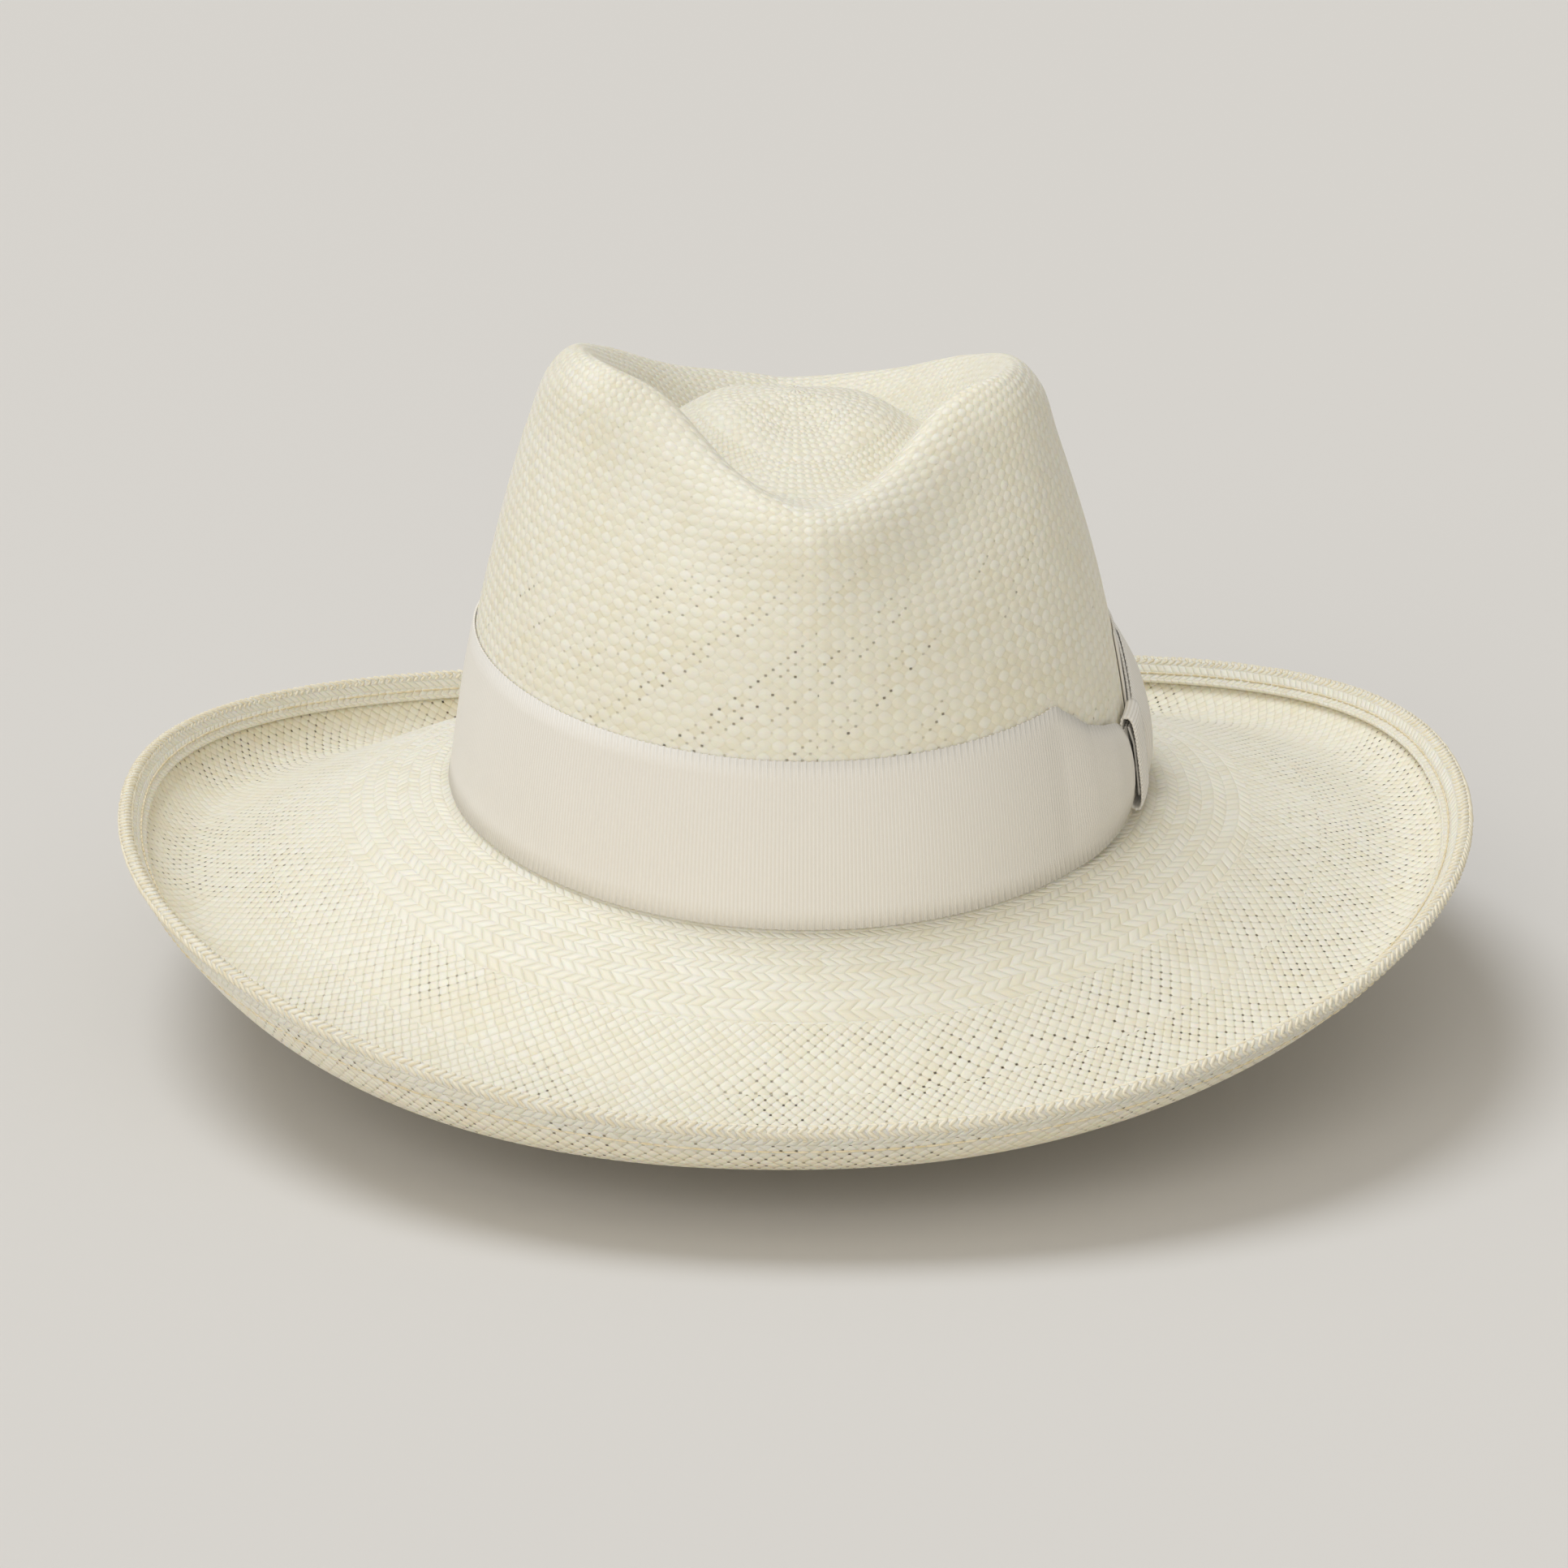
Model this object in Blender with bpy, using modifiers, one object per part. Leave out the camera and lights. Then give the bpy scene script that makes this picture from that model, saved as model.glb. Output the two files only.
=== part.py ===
"""A panama hat with a pinched teardrop crown, a wide brim with a rolled hem, a grosgrain band
gathered into a side bow, and a leather sweatband on a reed.

Frame: +Z up, the front of the hat faces -Y, the bow is on the +X side (the wearer's left), and the
origin is the middle of the hat's footprint on the surface that it rests on.

Every ring round the hat shares one set of angles: 0 at the front, 90 on the bow side, 180 at the
back. A point on the crown wall is given by its angle, its height above the head opening and its
distance out from the middle of the straw. All lengths here are in millimetres; the mesh builder
turns them into metres.
"""

import math

import bpy
import numpy as np

MM = 0.001
TURN = 60  # columns round the hat, which every full ring shares

# Straw body
STRAW = 1.2  # thickness of the woven straw
GAP = 0.3  # clearance between neighbouring pieces
HEAD_HALF_WIDTH = 85.5  # head opening at the middle of the straw
HEAD_FRONT = 99.7
HEAD_BACK = 98.8
HEAD_POWER = 2.11  # 2 is an ellipse, and more is squarer
HEAD_Z_FRONT = 31.4  # height of the head opening over the table, front and back
HEAD_Z_SIDE = 38.9
RIM_HALF_WIDTH = 170.0
RIM_FRONT = 184.5
RIM_BACK = 182.5
RIM_POWER = 2.15
RIM_Z_FRONT = 13.7  # top of the rolled edge over the table, front and back
RIM_Z_SIDE = 37.3
RIM_TILT = 2.4  # the bow side of the brim stands this much higher, and the other side lower
CURL_WIDTH_FRONT = 13.0  # from the lowest line of the brim out to its edge
CURL_WIDTH_SIDE = 18.0
CURL_HEIGHT_FRONT = 13.4
CURL_HEIGHT_BOW_SIDE = 11.6
CURL_HEIGHT_PLAIN_SIDE = 16.5
FRONT_SAG = 4.5  # the brim hangs lower here, in the front quarter away from the bow
FRONT_LIFT = 1.2  # and its edge stands this much higher
PRESSED = 0.4  # the brim is pressed flat on the table where its underside is lower than this
HEM_RADIUS = 1.0  # of the fold along the rim, at the middle of the straw
HEM_DEPTH = 6.5  # how far the folded straw comes down inside the rim

# Crown: one value for each station round it, the same on both sides
STATIONS = (0, 20, 40, 60, 90, 120, 150, 180)
RIDGE_Z = (127.0, 132.0, 145.5, 150.5, 148.0, 139.5, 128.5, 123.5)
TROUGH_Z = (124.5, 125.0, 126.0, 128.5, 129.0, 125.0, 118.5, 115.5)
DOME_Z = (131.0, 131.5, 133.5, 135.5, 136.5, 135.5, 133.0, 131.5)
RIDGE_HALF_WIDTH = 54.0
RIDGE_FRONT = 76.0
RIDGE_BACK = 74.0
TROUGH_SHARE = 0.70  # plan size of the trough inside the ridge
DOME_SHARE = 0.36
APEX_Y = -2.0
APEX_Z = 139.0
PINCH_AT = 37.0  # angle of the two finger dents
PINCH_SPREAD = 15.5
PINCH_DEPTH = 19.0
CROWN_LEAN = 0.035  # the ridge falls this much per unit towards the bow
WALL_SLOPE = 0.10  # the wall's lean at the head opening, and how fast the lean grows
WALL_CURVE = 0.00135
WALL_FRONT_SHARE = 0.90  # the front and back lean a little less than the sides

# Band and bow, all of one grosgrain ribbon
RIBBON = 0.5  # thickness
BAND_BOTTOM = 0.6
BAND_TOP = 40.6
BAND_FLARE = 0.5  # how far its lower selvedge stands off the straw
KNOT_FROM = 69.5  # angles that the knot covers
KNOT_TO = 77.5
KNOT_BOTTOM = 1.6
KNOT_TOP = 25.0
NECK_BOTTOM = 4.4  # the closed-up ribbon inside the knot
NECK_TOP = 21.8
GATHER_FROM = 49.0  # the band starts to close up here
GATHER_BULGE = 2.6
WING_TO = 109.0  # the fold at the end of the bow's rear loop
WING_BOTTOM = 2.6
WING_TOP = 35.0
WING_BULGE = 5.6
TAIL_TO = 119.0

# Sweatband and what is sewn to it
LEATHER = 1.0
SWEAT_BOTTOM = 0.5
SWEAT_TOP = 35.0
SEAM_HALF_ANGLE = 1.2  # half of the open seam at the back
REED = 1.0  # radius of the reed in the hem of the sweatband
TAPE = 0.5  # thickness of the tape folded round the reed
THREAD = 0.3  # radius of the sewing thread

STRAW_LAYER = STRAW / 2
BAND_OUT = STRAW_LAYER + GAP + RIBBON / 2
SWEAT_OUT = -(STRAW_LAYER + 1.4 + LEATHER / 2)  # room for the tape behind the leather


# ---------------------------------------------------------------- curves and rings


def ring_angles(count=TURN):
    """The angles of the columns round the hat, in degrees."""
    return np.arange(count) * 360.0 / count


def oval(degrees, half_width, front, back, power):
    """Plan points of a rounded oval, with its own length in front of and behind the middle."""
    s, c = np.sin(np.radians(degrees)), np.cos(np.radians(degrees))
    reach = (np.abs(s) ** power + np.abs(c) ** power) ** (-1 / power)
    length = np.where(c > 0, front, back)
    return np.stack([half_width * s * reach, -length * c * reach], axis=-1)


def saddle(degrees, front, side):
    """A height that is the same at the front and the back, and another at both sides."""
    return front + (side - front) * np.sin(np.radians(degrees)) ** 2


def stations(values, degrees):
    """A smooth curve round the crown through one value for each station, alike on both sides."""
    angle = np.array([-a for a in STATIONS[:0:-1]] + list(STATIONS) + [360.0 - a for a in STATIONS[-2::-1]])
    value = np.array(list(values[:0:-1]) + list(values) + list(values[-2::-1]), float)
    slope = np.gradient(value, angle)
    at = (np.asarray(degrees, float) + 180.0) % 360.0 - 180.0
    i = np.clip(np.searchsorted(angle, at, side="right") - 1, 0, len(angle) - 2)
    return hermite(value[i], value[i + 1], slope[i], slope[i + 1], angle[i], angle[i + 1], at)


def hermite(v0, v1, m0, m1, t0, t1, t):
    """The cubic between two values with a given slope at each."""
    w = t1 - t0
    u = (t - t0) / w
    return (
        (2 * u**3 - 3 * u**2 + 1) * v0
        + (u**3 - 2 * u**2 + u) * w * m0
        + (3 * u**2 - 2 * u**3) * v1
        + (u**3 - u**2) * w * m1
    )


def rings_through(controls, steps):
    """Rings on the smooth surface through the control rings, so many steps to each span."""
    rings = np.stack(controls)
    chord = np.linalg.norm(np.diff(rings, axis=0), axis=2).mean(axis=1)
    knot = np.concatenate([[0.0], np.cumsum(np.sqrt(chord))])
    slope = np.gradient(rings, knot, axis=0)
    made = []
    for i, count in enumerate(steps):
        for k in range(count):
            t = knot[i] + (knot[i + 1] - knot[i]) * k / count
            made.append(hermite(rings[i], rings[i + 1], slope[i], slope[i + 1], knot[i], knot[i + 1], t))
    made.append(rings[-1])
    return np.stack(made)


def with_height(plan, z):
    """Points from plan points and their heights."""
    return np.concatenate([plan, np.broadcast_to(z, plan.shape[:-1])[..., None]], axis=-1)


def head_z(degrees):
    """Height of the head opening over the table."""
    return saddle(degrees, HEAD_Z_FRONT, HEAD_Z_SIDE)


def wall(degrees, height, out=0.0):
    """A point of the crown wall at a height over the head opening, moved out from the straw's middle."""
    inset = WALL_SLOPE * height + WALL_CURVE * np.asarray(height, float) ** 2 - out
    plan = oval(
        degrees,
        HEAD_HALF_WIDTH - inset,
        HEAD_FRONT - inset * np.where(inset > 0, WALL_FRONT_SHARE, 1.0),
        HEAD_BACK - inset * np.where(inset > 0, WALL_FRONT_SHARE, 1.0),
        HEAD_POWER,
    )
    return with_height(plan, head_z(degrees) + height)


def pinch(degrees):
    """How much of the finger dents' depth falls at each angle."""
    side = np.abs((np.asarray(degrees, float) + 180.0) % 360.0 - 180.0)
    return np.exp(-0.5 * ((side - PINCH_AT) / PINCH_SPREAD) ** 2)


def pushed_in(ring, degrees, share):
    """A ring of the crown with the two front dents pressed in by a share of their depth."""
    moved = ring.copy()
    moved[:, 1] += PINCH_DEPTH * share * pinch(degrees)
    return moved


# ---------------------------------------------------------------- straw body


def ridge_plan(degrees, share=1.0, out=0.0):
    """Plan of the crown's ridge, scaled about the apex, before it is pinched."""
    plan = oval(degrees, RIDGE_HALF_WIDTH + out, RIDGE_FRONT + out, RIDGE_BACK + out, 2.0)
    centre = np.array([0.0, APEX_Y])
    return centre + (plan - centre) * share


def crown_controls(degrees):
    """Control rings from the dome at the top, over the ridge and down the wall."""
    ridge, trough = stations(RIDGE_Z, degrees), stations(TROUGH_Z, degrees)
    dome = stations(DOME_Z, degrees)
    shoulder = ridge - 5.0
    high = ridge - 19.0
    top = with_height(ridge_plan(degrees, 0.04), APEX_Z - 0.1)
    inner_dome = with_height(ridge_plan(degrees, DOME_SHARE), dome)
    in_trough = pushed_in(with_height(ridge_plan(degrees, TROUGH_SHARE), trough), degrees, 0.35)
    inner_wall = with_height(ridge_plan(degrees, 0.88), ridge * 0.74 + trough * 0.26)
    inner_wall = pushed_in(inner_wall, degrees, 0.82)
    crest = pushed_in(with_height(ridge_plan(degrees), ridge), degrees, 1.0)
    outer = pushed_in(with_height(ridge_plan(degrees, 1.0, 6.2), shoulder), degrees, 0.95)
    upper = pushed_in(wall(degrees, high - head_z(degrees)), degrees, 0.66)
    middle = pushed_in(wall(degrees, np.full_like(degrees, 66.0)), degrees, 0.20)
    rings = [top, inner_dome, in_trough, inner_wall, crest, outer, upper, middle]
    for ring in rings:
        ring[:, 2] -= CROWN_LEAN * ring[:, 0] * np.clip((ring[:, 2] - 90.0) / 40.0, 0.0, 1.0)
    return rings + [wall(degrees, np.full_like(degrees, h)) for h in (41.0, 20.0, 2.6)]


def brim_controls(degrees):
    """Control rings from the head opening out to the lowest line of the brim."""
    start = wall(degrees, np.full_like(degrees, -0.7), out=1.1)
    lowest, drop = lowest_line(degrees), (0.03, 0.21, 0.56, 0.86)
    rings = [start]
    for share, fall in zip((0.06, 0.30, 0.58, 0.82), drop):
        ring = start + (lowest - start) * share
        ring[:, 2] = start[:, 2] + (lowest[:, 2] - start[:, 2]) * fall
        rings.append(ring)
    return rings + [lowest]


def rim_line(degrees):
    """The top of the rolled edge."""
    tilt = RIM_TILT * np.sin(np.radians(degrees)) + FRONT_LIFT * front_quarter(degrees)
    z = saddle(degrees, RIM_Z_FRONT, RIM_Z_SIDE) + tilt
    return with_height(oval(degrees, RIM_HALF_WIDTH, RIM_FRONT, RIM_BACK, RIM_POWER), z)


def outward(degrees):
    """Plan direction from the head opening to the rim at each angle."""
    across = rim_line(degrees)[:, :2] - wall(degrees, np.zeros_like(degrees))[:, :2]
    return across / np.linalg.norm(across, axis=1)[:, None]


def from_rim(degrees, inward, down):
    """The ring a distance in from the rim's outline and down from its top."""
    rim, way = rim_line(degrees), outward(degrees)
    plan = rim[:, :2] - way * np.broadcast_to(inward, degrees.shape)[:, None]
    return with_height(plan, rim[:, 2] - down)


def front_quarter(degrees):
    """From 0 to 1 and back across the front quarter away from the bow, and 0 elsewhere."""
    turned = np.radians(degrees)
    inside = (np.sin(turned) < 0) & (np.cos(turned) > 0)
    return np.where(inside, np.sin(2 * turned) ** 2, 0.0)


def curl_size(degrees):
    """How far the brim turns in and up from its lowest line to the top of its edge."""
    side = np.where(np.sin(np.radians(degrees)) > 0, CURL_HEIGHT_BOW_SIDE, CURL_HEIGHT_PLAIN_SIDE)
    height = saddle(degrees, CURL_HEIGHT_FRONT, side) + FRONT_SAG * front_quarter(degrees)
    return saddle(degrees, CURL_WIDTH_FRONT, CURL_WIDTH_SIDE), height


def lowest_line(degrees):
    """Where the brim is lowest, before it turns up into its rolled edge."""
    return from_rim(degrees, *curl_size(degrees))


def curl_controls(degrees):
    """Rings of the upturned edge, from its foot to the start of the fold."""
    width, height = curl_size(degrees)
    shape = ((0.66, 0.86), (0.36, 0.58), (0.14, 0.28))
    rings = [from_rim(degrees, width * across, height * down) for across, down in shape]
    return rings + [from_rim(degrees, 0.65, 1.7)]


def square_to(along, degrees):
    """A direction up the rolled edge, and the one square to it that faces into the hat."""
    way = with_height(outward(degrees), 0.0)
    along = along / np.linalg.norm(along, axis=1)[:, None]
    up = np.array([0.0, 0.0, 1.0])
    return along, up * (along * way).sum(axis=1)[:, None] - way * along[:, 2:3]


def hem_rings(degrees, curl):
    """The fold over the rim and the straw that comes down inside it, beside the outer layer."""
    along, inward = square_to(curl[-1] - curl[-2], degrees)
    centre = curl[-1] + inward * HEM_RADIUS
    fold = [centre + HEM_RADIUS * (along * math.sin(a) - inward * math.cos(a)) for a in (0.9, 1.57, 2.25)]
    start = centre + inward * HEM_RADIUS
    down = curl[-3] - curl[-1]
    down /= np.linalg.norm(down, axis=1)[:, None]
    return fold + [start, start + down * HEM_DEPTH * 0.5 - inward * 0.1, start + down * HEM_DEPTH]


def straw_rings(degrees):
    """Every ring of the straw body, from the apex of the crown to the end of the hem."""
    curl = curl_controls(degrees)
    controls = crown_controls(degrees) + brim_controls(degrees) + curl
    steps = (2, 2, 1, 2, 2, 2, 2, 2, 1, 1, 1, 1, 1, 1, 1, 1, 2, 1, 1, 1)
    body = rings_through(controls, steps)
    return np.concatenate([body, np.stack(hem_rings(degrees, curl))])


# ---------------------------------------------------------------- meshes


def material(name, colour, roughness):
    """A plain dielectric finish."""
    made = bpy.data.materials.get(name) or bpy.data.materials.new(name)
    made.use_nodes = True
    shader = made.node_tree.nodes["Principled BSDF"]
    shader.inputs["Base Color"].default_value = (*colour, 1.0)
    shader.inputs["Roughness"].default_value = roughness
    shader.inputs["Metallic"].default_value = 0.0
    return made


def add_object(name, data, finish):
    """Put a sub-part into the hat's collection."""
    made = bpy.data.objects.new(name, data)
    bpy.data.collections["panama_hat"].objects.link(made)
    data.materials.append(finish)
    return made


def add_sheet(name, grid, thickness, finish, wrap=False, pole=None):
    """A sheet lofted through a grid of points, wrapped round or open, with a thickness."""
    rows, columns = grid.shape[:2]
    points = [tuple(p) for p in grid.reshape(-1, 3) * MM]
    across = columns if wrap else columns - 1
    faces = [
        (
            r * columns + c,
            r * columns + (c + 1) % columns,
            (r + 1) * columns + (c + 1) % columns,
            (r + 1) * columns + c,
        )
        for r in range(rows - 1)
        for c in range(across)
    ]
    if pole is not None:
        points.append(tuple(np.asarray(pole) * MM))
        faces += [(len(points) - 1, (c + 1) % columns, c) for c in range(columns)]
    mesh = bpy.data.meshes.new(name)
    mesh.from_pydata(points, [], faces)
    mesh.shade_smooth()
    made = add_object(name, mesh, finish)
    skin = made.modifiers.new("thickness", "SOLIDIFY")
    skin.thickness = thickness * MM
    skin.offset = 0.0
    skin.use_even_offset = True
    return made


def add_cord(name, points, radius, finish, closed=False, sides=1):
    """A round cord along a line of points."""
    curve = bpy.data.curves.new(name, "CURVE")
    curve.dimensions = "3D"
    curve.bevel_depth = radius * MM
    curve.bevel_resolution = sides
    curve.use_fill_caps = True
    line = curve.splines.new("POLY")
    line.points.add(len(points) - 1)
    line.points.foreach_set("co", np.column_stack([points * MM, np.ones(len(points))]).ravel())
    line.use_cyclic_u = closed
    return add_object(name, curve, finish)


def press_flat(made):
    """Apply a sheet's thickness, and press its lowest places flat on the table."""
    solid = bpy.data.meshes.new_from_object(made.evaluated_get(bpy.context.evaluated_depsgraph_get()))
    made.modifiers.clear()
    made.data = solid
    for vertex in solid.vertices:
        if vertex.co.z < PRESSED * MM:
            vertex.co.z = 0.0


# ---------------------------------------------------------------- sub-parts


def build_straw(finish):
    """Crown, brim and hem in one weave, resting on two flats of the brim."""
    rings = straw_rings(ring_angles())
    body = add_sheet("straw_body", rings, STRAW, finish, wrap=True, pole=(0.0, APEX_Y, APEX_Z))
    press_flat(body)


def build_hem_threads(finish):
    """The two threads of the lockstitch through the hem: one inside the rim, one outside."""
    degrees = ring_angles()
    curl = curl_controls(degrees)
    hem = hem_rings(degrees, curl)
    clear = STRAW_LAYER + GAP + THREAD
    stitched = hem[-2] * 0.35 + hem[-1] * 0.65 + square_to(hem[-2] - hem[-1], degrees)[1] * clear
    add_cord("hem_thread_upper", stitched, THREAD, finish, True, 0)
    outer = curl[-2] * 0.55 + curl[-3] * 0.45 - square_to(curl[-2] - curl[-3], degrees)[1] * clear
    add_cord("hem_thread_lower", outer, THREAD, finish, True, 0)


def closing(degrees):
    """How far the band has closed up towards the knot, from 0 to 1."""
    return np.clip((degrees - GATHER_FROM) / (KNOT_FROM - 0.5 - GATHER_FROM), 0.0, 1.0)


def build_band(finish):
    """The ribbon round the crown: plain behind the knot, and gathered where it enters the knot."""
    start, front = KNOT_TO + 3.0, 360.0
    plain = np.arange(84.0, front + GATHER_FROM, 6.0)
    gather = np.linspace(front + GATHER_FROM, front + KNOT_TO - 0.5, 9)
    columns = np.concatenate([[start], plain, gather])
    close = np.where(columns > front, closing(columns - front), 0.0)
    rows = []
    for share in (0.0, 0.05, 0.25, 0.5, 0.75, 1.0):
        bottom = BAND_BOTTOM + close**2 * (NECK_BOTTOM - BAND_BOTTOM)
        top = BAND_TOP + close * (NECK_TOP - BAND_TOP)
        height = bottom + (top - bottom) * share
        puff = GATHER_BULGE * np.sin(math.pi * np.clip(close, 0, 1)) * (1.0 - (2 * share - 1) ** 2)
        tucked = BAND_OUT + close * 1.1 * (RIBBON + GAP) + (BAND_FLARE if share == 0 else 0.0)
        rows.append(wall(columns, height, tucked + puff))
    add_sheet("crown_band", np.stack(rows), RIBBON, finish)


def build_knot(finish):
    """The strip wrapped round the gathered ribbon, sewn shut behind it."""
    columns = np.linspace(KNOT_FROM, KNOT_TO, 5)
    inner, outer = BAND_OUT, BAND_OUT + 5.2 * (RIBBON + GAP)
    middle, half = (inner + outer) / 2, (outer - inner) / 2
    tall = (KNOT_TOP - KNOT_BOTTOM) / 2
    rows = []
    for a in np.linspace(0.0, 2 * math.pi, 14, endpoint=False):
        s, c = math.sin(a), math.cos(a)
        height = (KNOT_TOP + KNOT_BOTTOM) / 2 + tall * math.copysign(abs(s) ** 0.4, s)
        rows.append(wall(columns, height, middle + half * math.copysign(abs(c) ** 0.4, c)))
    add_sheet("bow_knot", np.stack(rows).swapaxes(0, 1), RIBBON, finish, wrap=True)


def wing_columns():
    """Angles and layers along the rear loop: out over the top layer, round its fold and back."""
    outer = np.concatenate([[KNOT_FROM + 1.5], np.linspace(KNOT_TO + 0.5, WING_TO, 12)])
    inner = np.linspace(WING_TO, KNOT_TO + 1.5, 9)
    return outer, inner


def fanned(degrees):
    """How far the loop has opened from the knot to its full width, from 0 to 1."""
    u = np.clip((degrees - KNOT_TO - 0.8) / 15.0, 0.0, 1.0)
    return u * u * (3.0 - 2.0 * u)


def build_wing(finish):
    """The bow's rear loop: a ribbon that leaves the knot, puffs out, folds and comes back."""
    outer, inner = wing_columns()
    columns = np.concatenate([outer, [WING_TO + 0.7], inner])
    top_layer = BAND_OUT + 3.1 * (RIBBON + GAP)
    low_layer = BAND_OUT + 2.1 * (RIBBON + GAP)
    fan = fanned(columns)
    is_outer = np.arange(len(columns)) < len(outer)
    rows = []
    for share in np.linspace(0.0, 1.0, 6):
        bottom = NECK_BOTTOM + fan * (WING_BOTTOM - NECK_BOTTOM)
        top = NECK_TOP + fan * (WING_TOP - NECK_TOP)
        u = np.clip((columns - KNOT_TO - 0.5) / (WING_TO - KNOT_TO), 0.0, 1.0)
        puff = WING_BULGE * np.sin(math.pi * u**0.6) ** 0.8 * (1.0 - 0.85 * (2 * share - 1) ** 2)
        out = np.where(is_outer, top_layer + puff, low_layer)
        out[len(outer)] = (out[len(outer) - 1] + out[len(outer) + 1]) / 2
        rows.append(wall(columns, bottom + (top - bottom) * share, out))
    add_sheet("bow_rear_wing", np.stack(rows), RIBBON, finish)


def build_tail(finish):
    """The cut end of the bow's ribbon, between the loop and the band, with a slanted edge."""
    rows = []
    for share in np.linspace(0.0, 1.0, 4):
        columns = np.linspace(KNOT_TO + 1.5, TAIL_TO - 4.0 * share, 8)
        fan = fanned(columns)
        bottom = NECK_BOTTOM + fan * (WING_BOTTOM + 0.6 - NECK_BOTTOM)
        top = NECK_TOP + fan * (WING_TOP - 2.0 - NECK_TOP)
        rows.append(wall(columns, bottom + (top - bottom) * share, BAND_OUT + RIBBON + GAP))
    add_sheet("bow_tail", np.stack(rows), RIBBON, finish)


def build_sweatband(leather, ribbon, cloth, thread, label):
    """The leather band inside the crown, its reed, tape and thread, and the bow on its seam."""
    seam = 180.0
    around = np.linspace(seam + SEAM_HALF_ANGLE, seam + 360.0 - SEAM_HALF_ANGLE, TURN)
    heights = (SWEAT_BOTTOM + 2.6, 14.0, SWEAT_TOP)
    rows = [wall(around, np.full_like(around, h), SWEAT_OUT) for h in heights]
    add_sheet("sweatband", np.stack(rows), LEATHER, leather)

    centre = SWEAT_OUT - LEATHER / 2 + REED * 0.4
    reed_height = SWEAT_BOTTOM - 0.6
    line = wall(around, np.full_like(around, reed_height), centre)
    add_cord("sweatband_reed", line, REED, cloth, False, 1)

    radius = REED + GAP + TAPE / 2
    behind = SWEAT_OUT + LEATHER / 2 + GAP + TAPE / 2
    rows = [wall(around, np.full_like(around, 8.0), behind)]
    rows.append(wall(around, np.full_like(around, 4.0), behind))
    for a in np.radians((10.0, -35.0, -90.0, -145.0, -190.0)):
        height = reed_height + radius * math.sin(a)
        rows.append(wall(around, np.full_like(around, height), centre + radius * math.cos(a)))
    add_sheet("reed_tape", np.stack(rows), TAPE, ribbon)

    face = SWEAT_OUT - LEATHER / 2 - GAP - THREAD
    stitched = wall(around, np.full_like(around, SWEAT_BOTTOM + 5.0), face)
    add_cord("sweatband_thread", stitched, THREAD, thread, False, 0)

    build_seam_bow(ribbon)
    columns = np.linspace(seam - 6.0, seam + 6.0, 5)
    rows = [wall(columns, np.full_like(columns, h), behind) for h in (9.5, 20.0, 31.0)]
    add_sheet("seam_backing", np.stack(rows), TAPE, cloth)
    columns = np.linspace(seam + 24.0, seam + 34.0, 4)
    rows = [wall(columns, np.full_like(columns, h), behind) for h in (14.0, 40.0)]
    add_sheet("size_label", np.stack(rows), 0.3, label)


def build_seam_bow(finish):
    """A small ribbon bow over the seam: a knot with a loop on each side."""
    seam, height, half_width = 180.0, 9.0, 2.2
    face = SWEAT_OUT - LEATHER / 2 - GAP - THREAD
    knot_half, loop_long, loop_open = 1.4, 8.5, 1.5
    degree = 1.0 / math.radians(1.0) / HEAD_BACK  # degrees in a millimetre of the back wall
    for side, name in ((1.0, "seam_bow_left_loop"), (-1.0, "seam_bow_right_loop")):
        rows = []
        for a in np.linspace(0.0, 2 * math.pi, 12, endpoint=False):
            along = knot_half + 0.5 + loop_long * (1 + math.cos(a)) / 2
            out = face - 1.0 - loop_open * (1 + 0.9 * math.sin(a) * (1 - 0.3 * math.cos(a)))
            columns = np.full(2, seam + side * along * degree)
            rows.append(wall(columns, np.array([height - half_width, height + half_width]), out))
        add_sheet(name, np.stack(rows).swapaxes(0, 1), 0.4, finish, wrap=True)
    columns = seam + np.array([-knot_half, knot_half]) * degree
    rows = []
    for a in np.linspace(0.0, 2 * math.pi, 10, endpoint=False):
        rows.append(wall(columns, height + 1.9 * math.sin(a), face - 2.2 + 1.3 * math.cos(a)))
    add_sheet("seam_bow_knot", np.stack(rows).swapaxes(0, 1), 0.4, finish, wrap=True)


def main():
    """Clear the scene and build the hat."""
    for thing in list(bpy.data.objects):
        bpy.data.objects.remove(thing, do_unlink=True)
    bpy.context.scene.collection.children.link(bpy.data.collections.new("panama_hat"))
    straw = material("woven_straw", (0.80, 0.74, 0.60), 0.55)
    ribbon = material("grosgrain", (0.82, 0.79, 0.72), 0.65)
    leather = material("sweatband_leather", (0.66, 0.50, 0.33), 0.50)
    cloth = material("reed_cord", (0.75, 0.70, 0.58), 0.70)
    thread = material("cotton_thread", (0.72, 0.62, 0.42), 0.70)
    label = material("paper_label", (0.85, 0.84, 0.80), 0.80)
    build_straw(straw)
    build_hem_threads(thread)
    build_band(ribbon)
    build_knot(ribbon)
    build_wing(ribbon)
    build_tail(ribbon)
    build_sweatband(leather, ribbon, cloth, thread, label)


main()
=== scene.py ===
"""A woven panama hat with a pinched crown, a grosgrain band and a rolled brim, on a pale floor.

Frame: metres, +Z up, the front of the hat faces -Y and its bow is on the +X side. The hat's own
sizes below are in millimetres and become metres where a mesh is made.
"""

import logging
import math
from collections.abc import Sequence
from dataclasses import dataclass
from enum import Enum
from typing import Any

import bpy
import numpy as np
from mathutils import Matrix, Vector

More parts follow.
